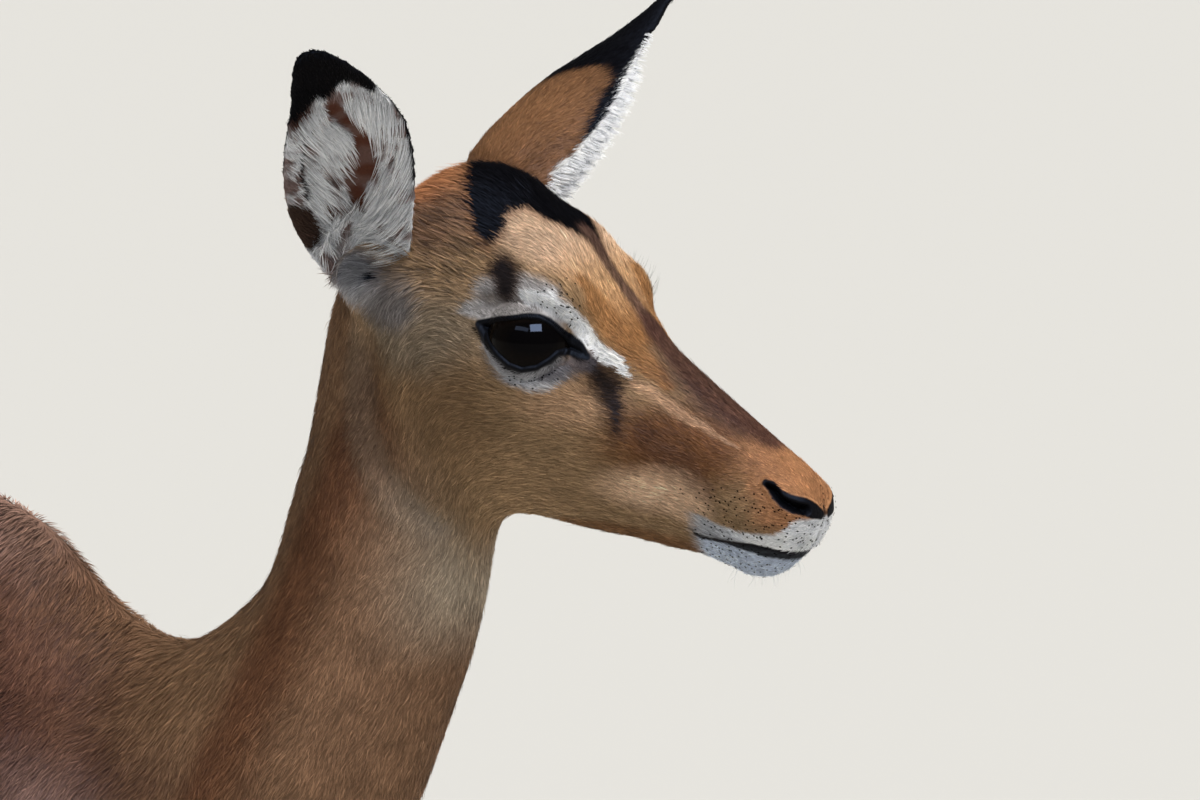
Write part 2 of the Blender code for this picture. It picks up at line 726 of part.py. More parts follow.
def finish(name, colour, roughness):
    material = bpy.data.materials.new(name)
    material.use_nodes = True
    shader = material.node_tree.nodes["Principled BSDF"]
    shader.inputs["Base Color"].default_value = (*colour, 1)
    shader.inputs["Roughness"].default_value = roughness
    shader.inputs["Metallic"].default_value = 0.0
    return material


def paint(pieces):
    coat = finish("fawn_coat", (0.38, 0.20, 0.10), 0.8)
    saddle = finish("red_coat", (0.30, 0.13, 0.06), 0.8)
    horn = finish("black_horn", (0.03, 0.026, 0.024), 0.35)
    eye = finish("dark_eye", (0.01, 0.008, 0.007), 0.05)
    for name, piece in pieces.items():
        chosen = coat
        if name.startswith("hoof"):
            chosen = horn
        elif name.startswith("eye"):
            chosen = eye
        elif name in ("trunk", "head", "tail"):
            chosen = saddle
        piece.data.materials.clear()
        piece.data.materials.append(chosen)


def shade_round(pieces):
    """Shades flesh and eyes smooth, but keeps the hooves' edges and the flat cuts crisp."""
    for piece in pieces.values():
        piece.data.shade_smooth()
        piece.data.set_sharp_from_angle(angle=SHARP_ANGLE)


def centre_on_floor(pieces):
    """Shifts everything so that the origin is the middle of the box's underside."""
    corners = np.concatenate([points_of(piece.data) for piece in pieces.values()])
    low, high = corners.min(0), corners.max(0)
    shift = Matrix.Translation(Vector((-(low[0] + high[0]) / 2, -(low[1] + high[1]) / 2, -low[2])))
    for piece in pieces.values():
        piece.data.transform(shift)
        piece.data.update()
    print("shift of the whole, m:", tuple(round(v, 4) for v in shift.to_translation()))


def main():
    for obj in list(bpy.data.objects):
        bpy.data.objects.remove(obj)
    body = whole_body()
    pieces = part_body(body)
    level_feet(pieces)
    pieces.update(eyes(pieces["head"]))
    pieces.update(hooves())
    paint(pieces)
    shade_round(pieces)
    centre_on_floor(pieces)
    for name, piece in pieces.items():
        print(name, "faces:", len(piece.data.polygons))


main()
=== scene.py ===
# %% [markdown]
# # A young impala ewe, standing still
#
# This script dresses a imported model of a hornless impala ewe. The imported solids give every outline, and
# this file adds what a museum preparator would add: one skin with lids, lips and nostrils, a coat of nearly
# seven hundred thousand tufts, glossy eyes, horn on the hooves, and a quiet studio. Lengths are in
# millimetres until a mesh is made.
#
# The fixed frame comes first. Each piece is built round it and rides on its one body, because the model is
# still.

# %% Load the fixed frame
import json
import math
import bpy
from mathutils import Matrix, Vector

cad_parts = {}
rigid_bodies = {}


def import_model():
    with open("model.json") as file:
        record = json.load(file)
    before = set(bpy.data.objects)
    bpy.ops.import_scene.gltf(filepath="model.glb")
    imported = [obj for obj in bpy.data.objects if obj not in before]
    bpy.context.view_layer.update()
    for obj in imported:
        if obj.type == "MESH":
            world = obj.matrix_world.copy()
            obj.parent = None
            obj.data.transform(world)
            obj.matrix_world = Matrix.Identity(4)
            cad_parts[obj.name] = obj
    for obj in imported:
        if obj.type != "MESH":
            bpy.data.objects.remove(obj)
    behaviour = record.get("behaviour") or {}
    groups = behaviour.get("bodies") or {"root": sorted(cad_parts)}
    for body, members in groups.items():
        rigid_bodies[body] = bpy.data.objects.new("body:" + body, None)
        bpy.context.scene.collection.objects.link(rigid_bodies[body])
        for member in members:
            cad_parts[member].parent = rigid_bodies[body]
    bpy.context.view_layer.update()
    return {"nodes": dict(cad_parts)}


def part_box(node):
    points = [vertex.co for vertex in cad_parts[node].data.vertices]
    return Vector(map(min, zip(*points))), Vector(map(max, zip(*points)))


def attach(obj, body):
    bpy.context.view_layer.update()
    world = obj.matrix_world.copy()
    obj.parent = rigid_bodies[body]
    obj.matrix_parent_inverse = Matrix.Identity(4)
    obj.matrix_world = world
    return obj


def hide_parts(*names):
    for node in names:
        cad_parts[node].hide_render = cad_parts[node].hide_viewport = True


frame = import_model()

from types import SimpleNamespace

import bmesh
import bpy
import numpy as np
from mathutils import Vector
from mathutils.kdtree import KDTree

MM = 0.001

# %% [markdown]
# ## Places on the body
#
# Folds and markings need places, such as the corner of an eye. All of them are written from one origin in
# the middle of the head, in the direction of the world's axes: X to the nose, Y to the ewe's left and Z up.
# The eye solids fix that origin. The head is the same on both sides, so places are written once, for its
# right side, and points of the left side are mirrored before they are compared.

# %% The head's origin and the mirrored side
def corners_of(mesh):
    """A mesh's corners, in millimetres."""
    found = np.empty(len(mesh.vertices) * 3, np.float32)
    mesh.vertices.foreach_get("co", found)
    return found.reshape(-1, 3).astype(float) / MM


def node_middle(name):
    low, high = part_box(name)
    return np.array((low + high) / 2) / MM


EYE = np.array((-17.0, -27.0, 28.0))  # the right eye's middle, from the head's origin
eyes_middle = (node_middle("eye_right") + node_middle("eye_left")) / 2
HEAD = eyes_middle - EYE * (1, 0, 1)
EYE_RADIUS = (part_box("eye_right")[1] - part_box("eye_right")[0]).z / MM / 2
print("head's origin, mm:", HEAD.round(1), "eye radius:", round(EYE_RADIUS, 1))


def from_head(points):
    """Points as seen from the head's origin, with the left side folded over to the right."""
    seen = points - HEAD
    side = np.where(seen[:, 1] > 0, 1.0, -1.0)
    seen[:, 1] = -np.abs(seen[:, 1])
    return seen, side


def eased(value, start, end):
    """0 at start, 1 at end, with a soft ramp between."""
    share = np.clip((value - start) / (end - start), 0, 1)
    return share * share * (3 - 2 * share)


def unit(vectors):
    vectors = np.asarray(vectors, float)
    return vectors / np.maximum(np.linalg.norm(vectors, axis=-1, keepdims=True), 1e-9)


# %% [markdown]
# Two planes part head from neck and neck from trunk, as the solids do. Each is a place on it and the
# direction that it faces. How far a point lies beyond a plane then says how much it belongs to the next
# part.

# %% Planes between head, neck and trunk
HEAD_PLANE = np.array((-86.0, 0, 13)), np.array((0.927, 0, 0.376))
NECK_PLANE = np.array((-167.0, 0, -173)), np.array((0.793, 0, 0.61))


def beyond(seen, plane):
    """Millimetres that points lie beyond a plane, on the side towards the nose."""
    return (seen - plane[0]) @ plane[1]


print("the head's origin lies", round(beyond(np.zeros(3), HEAD_PLANE)), "mm before the head's plane")

# %% [markdown]
# The ears have frames of their own. An ear is a cupped leaf, so the directions in which its corners spread
# most are its length, its breadth and the way that it opens. A singular value decomposition finds all
# three. Its margins are read off the solid as well.

# %% Ear frames
MARGIN_STEPS = 11


def ear_frame(side):
    """Base, length, and the directions along, across to the crown side, and out of the cup."""
    corners = corners_of(frame["nodes"]["ear_" + side].data)
    middle = corners.mean(0)
    spread = np.linalg.svd(corners - middle, full_matrices=False)[2]
    along = spread[0] * np.sign(spread[0][2])
    sign = -1 if side == "right" else 1
    across = spread[1] * np.sign(-sign * spread[1][1])
    opening = np.cross(along, across)
    opening = opening * np.sign(sign * opening[1])
    reach = (corners - middle) @ along
    base = middle + along * reach.min()
    share, off = (reach - reach.min()) / np.ptp(reach), (corners - base) @ across
    shares = np.linspace(0, 1, MARGIN_STEPS)
    near = [np.abs(share - at) < 0.05 for at in shares]
    return {
        "base": base, "length": np.ptp(reach), "along": along, "across": across, "opening": opening,
        "margins": (shares, [off[each].min() for each in near], [off[each].max() for each in near]),
        "fringed": side == "left",  # only this ear turns its white front margin outwards
    }


ears = {side: ear_frame(side) for side in ("right", "left")}
print("ear lengths:", {side: round(ear["length"], 1) for side, ear in ears.items()})


def ear_places(points, ear):
    """Share of the ear's length, millimetres across and millimetres out of the cup."""
    away = points - ear["base"]
    return away @ ear["along"] / ear["length"], away @ ear["across"], away @ ear["opening"]


def inset_of(share, across, ear):
    """Millimetres in from the nearer margin of the ear."""
    shares, low, high = ear["margins"]
    return np.minimum(np.interp(share, shares, high) - across, across - np.interp(share, shares, low))


def in_ear(points, ear):
    """Whether each point belongs to the ear, its thickness and coat included."""
    share, across, out = ear_places(points, ear)
    return (share > 0.02) & (share < 1.1) & (inset_of(share, across, ear) > -3) & (np.abs(out) < 24)


# %% [markdown]
# ## One skin
#
# The solids are parted by thin cuts, and their facets are wide. A real hide has neither. Booleans could
# unite them, but they would keep the facets. Instead the flesh solids are copied, swollen by less than half
# a millimetre so that the cuts close, joined, and rebuilt by the Remesh modifier in voxels, which gives one
# even mesh. The eyes are in the copy as well, so that the skin runs over them: the lids are opened later.

# %% Join the flesh and rebuild it in voxels
FLESH = ["trunk", "neck", "head", "ear_right", "ear_left", "tail"]
FLESH += [f"{end}_leg_{side}" for end in ("front", "hind") for side in ("right", "left")]
SWELL = 0.4  # millimetres, more than half of a cut
VOXEL = 2.0


def put_corners(mesh, points):
    mesh.vertices.foreach_set("co", (points * MM).astype(np.float32).ravel())
    mesh.update()


def linked(name, data):
    """A new object of the scene that holds the given mesh, lamp or camera."""
    obj = bpy.data.objects.new(name, data)
    bpy.context.scene.collection.objects.link(obj)
    return obj


def joined_flesh():
    bm = bmesh.new()
    for name in FLESH + ["eye_right", "eye_left"]:
        part = frame["nodes"][name].data.copy()
        bm_part = bmesh.new()
        bm_part.from_mesh(part)
        bmesh.ops.remove_doubles(bm_part, verts=bm_part.verts, dist=1e-6)
        bm_part.normal_update()
        for vertex in bm_part.verts:
            vertex.co += vertex.normal * SWELL * MM
        bm_part.to_mesh(part)
        bm_part.free()
        bm.from_mesh(part)
        bpy.data.meshes.remove(part)
    mesh = bpy.data.meshes.new("skin")
    bm.to_mesh(mesh)
    bm.free()
    return linked("skin", mesh)


def with_modifier(obj, kind, **settings):
    """Runs one modifier on the object and keeps its result."""
    modifier = obj.modifiers.new(kind.lower(), kind)
    for name, value in settings.items():
        setattr(modifier, name, value)
    bpy.context.view_layer.update()
    mesh = bpy.data.meshes.new_from_object(obj.evaluated_get(bpy.context.evaluated_depsgraph_get()))
    obj.modifiers.clear()
    old, obj.data = obj.data, mesh
    bpy.data.meshes.remove(old)


skin = joined_flesh()
with_modifier(skin, "REMESH", mode="VOXEL", voxel_size=VOXEL * MM, use_smooth_shade=True)
print("voxel skin:", len(skin.data.vertices), "corners")

# %% [markdown]
# ## Smoothing the facets away
#
# Moving each corner towards the middle of its neighbours removes facets, but it also shrinks what is thin.
# So the same smoothing is run on what it took away, and that is given back. Wide facets on the trunk need
# many passes, and slim legs, face and ears only a few, so each corner has a weight.

# %% Weighted smoothing that keeps the volume
SMOOTHING_PASSES = 80


def edge_ends(mesh):
    ends = np.empty(len(mesh.edges) * 2, np.int32)
    mesh.edges.foreach_get("vertices", ends)
    return ends.reshape(-1, 2).T


def blurred(values, ends, weights, passes):
    """Each row moved towards the mean of its neighbours' rows, again and again."""
    a, b = ends
    count = len(values)
    shared = np.bincount(a, minlength=count) + np.bincount(b, minlength=count)
    values = values.copy()
    for _ in range(passes):
        for k in range(values.shape[1]):
            column = values[:, k]
            total = np.bincount(a, column[b], count) + np.bincount(b, column[a], count)
            values[:, k] += weights * (total / shared - column)
    return values


def smoothed(points, ends, weights, passes):
    """The points blurred, with what the blur took away given back."""
    soft = blurred(points, ends, weights, passes)
    return soft + blurred(points - soft, ends, weights, passes)


def smoothing_weights(points):
    seen, _ = from_head(points)
    weights = 0.12 + 0.88 * eased(points[:, 2], 380, 560)
    weights *= 1 - 0.45 * eased(beyond(seen, NECK_PLANE), -20, 60)
    weights += (0.10 - weights) * eased(beyond(seen, HEAD_PLANE), -30, 10)
    for ear in ears.values():
        weights = np.where(in_ear(points, ear), 0.04, weights)
    return 0.6 * weights


ends = edge_ends(skin.data)
rough = corners_of(skin.data)
points = smoothed(rough, ends, smoothing_weights(rough), SMOOTHING_PASSES)
print("smoothing moved the skin by up to", round(np.linalg.norm(points - rough, axis=1).max(), 1), "mm")

# %% [markdown]
# Some places need more: the ledge where each ear grows from its bulb, the crease behind the jaw and the
# step at the top of the breast. Each is a ball of a given reach in which the same smoothing runs again.

# %% Soften a few places
SOFT_PLACES = {  # middle, reach and passes
    "ear root": ((-84, -42, 50), 26, 14),
    "behind the jaw": ((-92, -34, -20), 60, 14),
    "throat": ((-58, 0, -62), 34, 24),
    "top of the breast": ((-110, 0, -230), 110, 60),
    "side of the neck root": ((-150, -45, -190), 120, 60),
    "withers dip": ((-190, 0, -110), 90, 50),
    "nape": ((-105, 0, 70), 40, 20),
}
for name, (place, reach, passes) in SOFT_PLACES.items():
    seen, _ = from_head(points)
    away = np.linalg.norm(seen - place, axis=1)
    weights = 0.6 * eased(away, reach, reach * 0.5)
    for ear in ears.values():
        share = ear_places(points, ear)[0]
        weights *= np.where(in_ear(points, ear), eased(share, 0.22, 0.04), 1)
    chosen = np.flatnonzero(away < reach * 1.05)
    inside = np.isin(ends[0], chosen) & np.isin(ends[1], chosen)
    lookup = np.full(len(points), -1)
    lookup[chosen] = np.arange(len(chosen))
    near_ends = lookup[ends[0][inside]], lookup[ends[1][inside]]
    points[chosen] = smoothed(points[chosen], near_ends, weights[chosen], passes)
print("softened", len(SOFT_PLACES), "places")

# %% [markdown]
# ## Drawing the skin in by the coat's depth
#
# The solids end at the tips of the hair, so the hide lies inside them: hardly at all on the nose, a
# millimetre on the face and legs, and more on the neck and body. Each corner moves against its normal,
# which is worked out from the triangles round it.

# %% Corner normals and the coat's depth
def corner_normals(points, triangles):
    a, b, c = (points[triangles[:, k]] for k in range(3))
    facing = np.cross(b - a, c - a)
    total = np.zeros_like(points)
    for k in range(3):
        for axis in range(3):
            total[:, axis] += np.bincount(triangles[:, k], facing[:, axis], len(points))
    return unit(total)


def triangles_of(mesh):
    mesh.calc_loop_triangles()
    found = np.empty(len(mesh.loop_triangles) * 3, np.int32)
    mesh.loop_triangles.foreach_get("vertices", found)
    return found.reshape(-1, 3)


TAIL_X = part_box("tail")[1].x / MM
FRONT_LEG_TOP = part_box("front_leg_right")[1].z / MM


def coat_depth(points):
    seen, _ = from_head(points)
    depth = 0.8 + 2.7 * eased(points[:, 2], 330, 560)
    depth += (2.4 - depth) * eased(beyond(seen, NECK_PLANE), -20, 40)
    depth += (1.1 - depth) * eased(beyond(seen, HEAD_PLANE), -30, 10)
    depth -= 0.7 * eased(seen[:, 0], 80, 105) * eased(beyond(seen, HEAD_PLANE), 0, 10)
    depth = np.where((points[:, 0] < TAIL_X + 2) & (points[:, 2] > 380), 5.0, depth)
    for ear in ears.values():
        depth = np.where(in_ear(points, ear), 0.4, depth)
    return depth * eased(points[:, 2], 34, 60)


depth = coat_depth(points)
points -= corner_normals(points, triangles_of(skin.data)) * depth[:, None]
put_corners(skin.data, points)
print("the hide lies", round(depth.min(), 1), "to", round(depth.max(), 1), "mm inside the coat's tips")

# %% [markdown]
# ## Fewer corners on the body, more on the face
#
# Lids and nostrils need corners half a millimetre apart, and the flank doesn't. The Decimate modifier thins
# what a vertex group names. The ears keep all their corners, as they are thin and seen closely.

# %% Thin out the body
BODY_TRIANGLES = {"neck": 15000, "body": 46000}


def thin_out(obj, chosen, triangles):
    mesh = obj.data
    faces = triangles_of(mesh)
    inside = int(chosen[faces[:, 0]].sum())
    group = obj.vertex_groups.new(name="chosen")
    group.add(np.flatnonzero(chosen).tolist(), 1.0, "REPLACE")
    ratio = (len(faces) - inside + triangles) / len(faces)
    with_modifier(obj, "DECIMATE", ratio=ratio, vertex_group="chosen", use_collapse_triangulate=True)
    obj.vertex_groups.clear()


for name, triangles in BODY_TRIANGLES.items():
    points = corners_of(skin.data)
    seen, _ = from_head(points)
    past_head, past_neck = beyond(seen, HEAD_PLANE), beyond(seen, NECK_PLANE)
    chosen = (past_head < -12) & (past_neck > 0) if name == "neck" else past_neck <= 0
    thin_out(skin, chosen & ~in_ear(points, ears["right"]) & ~in_ear(points, ears["left"]), triangles)
    print(name, "thinned; the skin has", len(skin.data.polygons), "faces")

# %% [markdown]
# ## Where the eyes, the nose and the mouth are
#
# An eye's opening is drawn as an outline on a plane that faces out of it, so each corner has a signed
# distance to it, positive inside. It could be cut out of the mesh, but a distance also steers folds,
# colours and tufts.

# %% The eye's outline
EYE_OUT = unit((0.494, -0.855, 0.156))  # the way the eye looks
EYE_ALONG = unit((0.866, 0.5, 0.0))  # towards the nose
EYE_UP = np.cross(EYE_OUT, EYE_ALONG)
EYE_OPENING = [
    (-23, 7), (-18.5, -0.5), (-15, -5.5), (-10, -10), (-4.5, -12), (1.5, -11), (6.5, -8),
    (10, -5), (14.5, -4.5), (18.5, -5.5), (22.5, -7), (20, -2.5), (16.5, 0.5), (12.5, 3),
    (7, 7.5), (2.5, 9.5), (-3.5, 9.5), (-8.5, 9), (-14.5, 8.5),
]


def outline_distance(across, up, outline):
    """Millimetres to a closed outline, positive inside it."""
    nearest = np.full(len(across), 1e9)
    inside = np.zeros(len(across), bool)
    for (x0, y0), (x1, y1) in zip(outline, outline[1:] + outline[:1], strict=True):
        run, rise = x1 - x0, y1 - y0
        share = np.clip(((across - x0) * run + (up - y0) * rise) / (run * run + rise * rise), 0, 1)
        nearest = np.minimum(nearest, np.hypot(across - x0 - share * run, up - y0 - share * rise))
        if rise:
            inside ^= ((y0 > up) != (y1 > up)) & (across < x0 + (up - y0) * run / rise)
    return np.where(inside, nearest, -nearest)


def eye_places(seen):
    """Millimetres along, up and out from the eye's middle, and the signed distance to its opening."""
    away = seen - EYE
    along, up, out = away @ EYE_ALONG, away @ EYE_UP, away @ EYE_OUT
    opening = np.full(len(seen), -99.0)
    near = (np.linalg.norm(away, axis=1) < 60) & (out > -6)
    opening[near] = outline_distance(along[near], up[near], EYE_OPENING)
    return along, up, out, opening


print("the eye's opening is", round(np.ptp([place[0] for place in EYE_OPENING]), 1), "mm long")

# %% [markdown]
# Nostrils, mouth and the crease behind the jaw are paths along the skin, each with a half width that may
# change on its way. The nearest point of a path gives the distance, and the width there.

# %% Paths of nose, mouth and jaw
def path_distance(seen, path, widths=None):
    """Millimetres to a path, and its half width at the nearest point of it."""
    path = np.asarray(path, float)
    widths = np.ones(len(path)) if widths is None else np.asarray(widths, float)
    nearest, width = np.full(len(seen), 1e9), np.zeros(len(seen))
    for start, end, first, last in zip(path[:-1], path[1:], widths[:-1], widths[1:], strict=True):
        step = end - start
        share = np.clip((seen - start) @ step / (step @ step), 0, 1)
        far = np.linalg.norm(seen - start - share[:, None] * step, axis=1)
        closer = far < nearest
        nearest = np.where(closer, far, nearest)
        width = np.where(closer, first + share * (last - first), width)
    return nearest, width


def mouth_height(forwards):
    """How high the mouth's line runs, this far forwards."""
    return np.interp(forwards, [place[0] for place in MOUTH], [place[2] for place in MOUTH])


NOSTRIL = [(89, -15, -26), (92, -15, -27.5), (95.5, -15.5, -31), (99, -15.5, -33), (102.5, -14.5, -34.5),
           (105.5, -12, -35.5), (108, -8, -37.5), (108.5, -3.5, -39.5)]
NOSTRIL_WIDTH = [1.7, 2.5, 2.8, 3.3, 3.7, 3.8, 3.2, 2.2]
MOUTH = [(54, -13.5, -51), (58, -13, -53), (64, -13.5, -53.5), (73, -14.5, -54),
         (84, -16, -53.5), (93.5, -14.5, -54.5), (99, -8.5, -55.5), (102, 0, -55.5)]
JAW_CREASE = [(-94, -37.5, 27.5), (-95.5, -34, 9), (-95, -33.5, -12), (-89, -33, -29.5), (-79, -31, -44),
              (-66, -24.5, -54)]
PHILTRUM = [(109.4, 0, -37.0), (109.0, 0, -43.0), (107.0, 0, -48.0), (103.5, 0, -54.0)]
print("the mouth opens", MOUTH[0][0], "to", MOUTH[-1][0], "mm before the head's origin")

# %% [markdown]
# ## More corners on the face
#
# Round eyes, nose and mouth the voxel mesh is still too coarse for a lid. A Subdivision modifier would
# divide the whole animal, so bmesh divides only the edges near the features, twice.

# %% Divide the faces where the features are
def divide_near(obj, distance, reach):
    points = corners_of(obj.data)
    chosen = distance(points) < reach
    bm = bmesh.new()
    bm.from_mesh(obj.data)
    bm.verts.ensure_lookup_table()
    edges = [edge for edge in bm.edges if chosen[edge.verts[0].index] and chosen[edge.verts[1].index]]
    bmesh.ops.subdivide_edges(bm, edges=edges, cuts=1, use_grid_fill=True)
    bmesh.ops.triangulate(bm, faces=[face for face in bm.faces if len(face.verts) > 4])
    bm.to_mesh(obj.data)
    bm.free()


def feature_distance(points):
    seen, _ = from_head(points)
    nearest = np.abs(eye_places(seen)[3])
    for path in (NOSTRIL, MOUTH, PHILTRUM):
        nearest = np.minimum(nearest, path_distance(seen, path)[0])
    return nearest


for reach in (11, 6):
    divide_near(skin, feature_distance, reach)
    print("divided within", reach, "mm of the features:", len(skin.data.polygons), "faces")

# %% [markdown]
# ## Folds, nostrils and lips
#
# With corners enough, the features are pushed in and out along the skin's normals, as a sculptor would.
# Lids end in a rounded rim with a crease above it. A nostril is a slit with a soft leather roll above it,
# and the mouth is a fine groove under a fuller upper lip.

# %% How far each feature rises or sinks
def bell(value, middle, breadth):
    return np.exp(-(((value - middle) / breadth) ** 2))


def feature_lift(seen, eye):
    """Millimetres by which folds, nostrils and lips rise above the skin or sink into it."""
    _, up, out, opening = eye
    front = out > 0
    lift = 0.5 * bell(opening, -1.4, 1.2) * front
    lift -= 0.7 * bell(opening, -5.6, 1.3) * front * eased(up, 2, 8)
    lift -= 0.45 * bell(opening, -6.2, 1.6) * front * eased(up, -2, -8)

    before_crease = path_distance(seen - np.array((13, -2, 4)), JAW_CREASE)[0]
    lift += 1.8 * eased(before_crease, 14, 3) - 1.8 * eased(path_distance(seen, JAW_CREASE)[0], 10, 1)

    far, width = path_distance(seen, NOSTRIL, NOSTRIL_WIDTH)
    hollow = np.array((0.6, 0.2, -1.2))  # the hole lies below and behind the leather roll
    hole, hole_width = path_distance(seen - hollow, NOSTRIL[:-2], np.array(NOSTRIL_WIDTH[:-2]) * 0.6)
    lift += 0.8 * eased(far, width * 1.9, width * 0.8)
    lift -= 6.0 * eased(hole, hole_width * 1.2, hole_width * 0.3)
    lift -= 1.2 * eased(path_distance(seen, PHILTRUM)[0], 1.6, 0.2)

    line = path_distance(seen, MOUTH)[0]
    above = (seen[:, 0] > 52) * eased(seen[:, 2] - mouth_height(seen[:, 0]), 0, 2)
    lift += 0.7 * eased(line, 6, 1.5) * above
    return lift - 2.0 * eased(line, 1.3, 0.2)


seen = from_head(corners_of(skin.data))[0]
lift = feature_lift(seen, eye_places(seen))
print("features sink by up to", round(-lift.min(), 1), "mm and rise by up to", round(lift.max(), 1), "mm")

# %% [markdown]
# ## Lids
#
# A lid hugs the eyeball at its own thickness. Inside the opening the skin drops behind the ball, so that
# the ball shows. Everything here is a distance from the eye's middle, so the corners move to and from that
# point.

# %% Sculpt the head
LID_THICKNESS = 1.5
RIM = 1.2  # the dark, hairless edge of the lids


def opened_lids(seen, eye):
    """The skin drawn over the eyeball as lids, and dropped behind it where the eye is open."""
    along, up, out, opening = eye
    front = out > 0
    away = seen - EYE
    radius = np.linalg.norm(away, axis=1)
    on_ball = front * eased(np.hypot(along, up), EYE_RADIUS + 1.5, EYE_RADIUS - 2)
    covering = np.where(out > -4, np.maximum(radius, EYE_RADIUS + 0.9), radius)  # no bare eyeball beside it
    hugging = eased(opening, -9, -1.5) * on_ball
    radius_now = covering + hugging * (np.minimum(EYE_RADIUS + LID_THICKNESS, covering) - covering)
    dropped = eased(opening, RIM - 0.5, RIM + 0.9)
    radius_now += dropped * on_ball * (EYE_RADIUS - 3.0 - radius_now)
    seen = EYE + away * (radius_now / radius)[:, None]
    return seen - EYE_OUT * (4.0 * eased(opening, 0.2, 2.4) * (1 - on_ball) * front)[:, None]


def carve(points, triangles):
    seen, side = from_head(points)
    eye = eye_places(seen)
    normals = corner_normals(points, triangles)
    normals[:, 1] *= -side  # the normals as the folded side sees them
    seen = opened_lids(seen + normals * feature_lift(seen, eye)[:, None], eye)
    seen[:, 1] *= -side
    return seen + HEAD


def leather_share(seen):
    """How much each place belongs to the bare leather of nostrils and philtrum."""
    far, width = path_distance(seen, NOSTRIL, NOSTRIL_WIDTH)
    groove = eased(path_distance(seen, PHILTRUM)[0], 1.5, 0.8) * (seen[:, 2] > -46)
    return np.maximum(eased(far, width + 0.5, width - 0.3), groove)


triangles = triangles_of(skin.data)
points = corners_of(skin.data)
leather = leather_share(from_head(points)[0])  # measured before the nostrils are pressed in
features = feature_distance(points)
ends = edge_ends(skin.data)
points = blurred(points, ends, 0.5 * eased(features, 12, 8), 3)
points = carve(points, triangles)
points = blurred(points, ends, 0.35 * eased(features, 9, 6), 2)
put_corners(skin.data, points)
normals = corner_normals(points, triangles)
print("skin:", len(points), "corners and", len(triangles), "triangles")

# %% [markdown]
# ## The markings
#
# Skin and tufts wear the same colours, so one function answers for any place on the body. It starts from a
# plain fawn and lays marks over it one after another, as a painter would. An image could hold them as well,
# but would blur close up. Paints are given in ordinary screen values and are turned into linear light, in
# which they mix as real ones do.

# %% Paints that many places share
def paint(red, green, blue):
    """A colour given in ordinary screen values, as linear light."""
    value = np.array((red, green, blue)) / 255
    return np.where(value <= 0.04045, value / 12.92, ((value + 0.055) / 1.055) ** 2.4)


WHITE = paint(248, 250, 255)
PALE_GREY = paint(180, 181, 186)
GREY_FAWN = paint(140, 126, 108)
SCRUFF = paint(140, 108, 84)
DARK_FAWN = paint(82, 58, 44)
CHARCOAL = paint(32, 27, 27)
BLACK = paint(9, 8, 11)
print("white hair sends back", round(WHITE.mean(), 2), "of the light")

# %% [markdown]
# Real markings have no ruled edges. Grain is a soft noise in space that makes them wander, and it comes out
# the same on every run. A blot is a soft ball of paint. A streak follows a path whose half width may
# change.

# %% Grain, blots and streaks
def grain(points, size, seed):
    """Soft lumps of noise from -1 to 1, of the given size."""
    scaled = points / size + seed * 17.3
    cell = np.floor(scaled).astype(np.int64)
    within = scaled - cell
    within = within * within * (3 - 2 * within)
    total = np.zeros(len(points))
    for corner in range(8):
        offset = np.array((corner & 1, corner >> 1 & 1, corner >> 2 & 1))
        key = (cell + offset) @ np.array((73856093, 19349663, 83492791)) + seed * 2654435761
        key = (key ^ (key >> 13)) * 1274126177 & 0x7FFFFFFF
        value = (key >> 8 & 0xFFFF) / 32767.5 - 1
        total += value * np.prod(np.where(offset, within, 1 - within), axis=1)
    return total


def blot(seen, place, radii, soft=0.45):
    far = np.linalg.norm((seen - np.array(place)) / np.array(radii), axis=1)
    return eased(far, 1 + soft, 1 - soft)


def streak(seen, path, widths, soft=0.4):
    far, width = path_distance(seen, path, widths)
    return eased(far / np.maximum(width, 1e-6), 1 + soft, 1 - soft)


def mix(first, second, share):
    """A blend at each place. Either side may be one colour for all places."""
    return first + (np.asarray(second) - first) * share[:, None]


def over(colours, colour, mask):
    return mix(colours, colour, np.clip(mask, 0, 1))


def laid(colours, marks):
    """Lays marks over the colours in turn. A mark is a paint, its strength and the mask that shapes it."""
    for colour, strength, mask in marks:
        colours = over(colours, colour, strength * mask)
    return colours


print("grain reaches", round(grain(points, 6.0, 3).max(), 2))

# %% [markdown]
# Smoothing has moved the skin by a millimetre here and there. A path that floats above it would paint a
# thinner streak than its widths say, so each of its places is moved to the nearest corner of the skin. A KD
# tree finds that corner quickly.

# %% Settle paths on the skin
folded_skin = from_head(points)[0]
skin_tree = KDTree(len(folded_skin))
for k, place in enumerate(folded_skin):
    skin_tree.insert(place, k)
skin_tree.balance()


def settled(path):
    """The places of a path, each moved to the nearest corner of the skin."""
    return [tuple(skin_tree.find(place)[0]) for place in path]


print("paths settle on", len(folded_skin), "corners")

# %% [markdown]
# ## The cheek
#
# The cheek is the plainest part of the face: fawn, darker towards the throat and greyer towards the ear,
# whose root is a pale swelling with one black spot. Each round of marks gets the same account of its
# places: where they are, where grain has moved them, and how they lie to the eye's opening.

# %% The account of a place, and the cheek's marks
CHEEK = paint(158, 129, 97)
CHEEK_DARK = paint(132, 104, 76)
EAR_ROOT_GREY = paint(116, 112, 112)
TAN_STREAK = paint(210, 170, 138)


def account_of(seen):
    along, up, out, opening = eye_places(seen)
    wobble = grain(seen, 6.0, 3) * 0.8 + grain(seen, 2.2, 5) * 0.5
    return SimpleNamespace(
        seen=seen, moved=seen + wobble[:, None] * np.array((0.8, 0.5, 0.8)), wobble=wobble,
        fine=grain(seen, 1.2, 6), along=along, level=up + 0.3 * along, near_eye=out > -4, opening=opening,
        edge=opening + wobble * 0.8,
    )


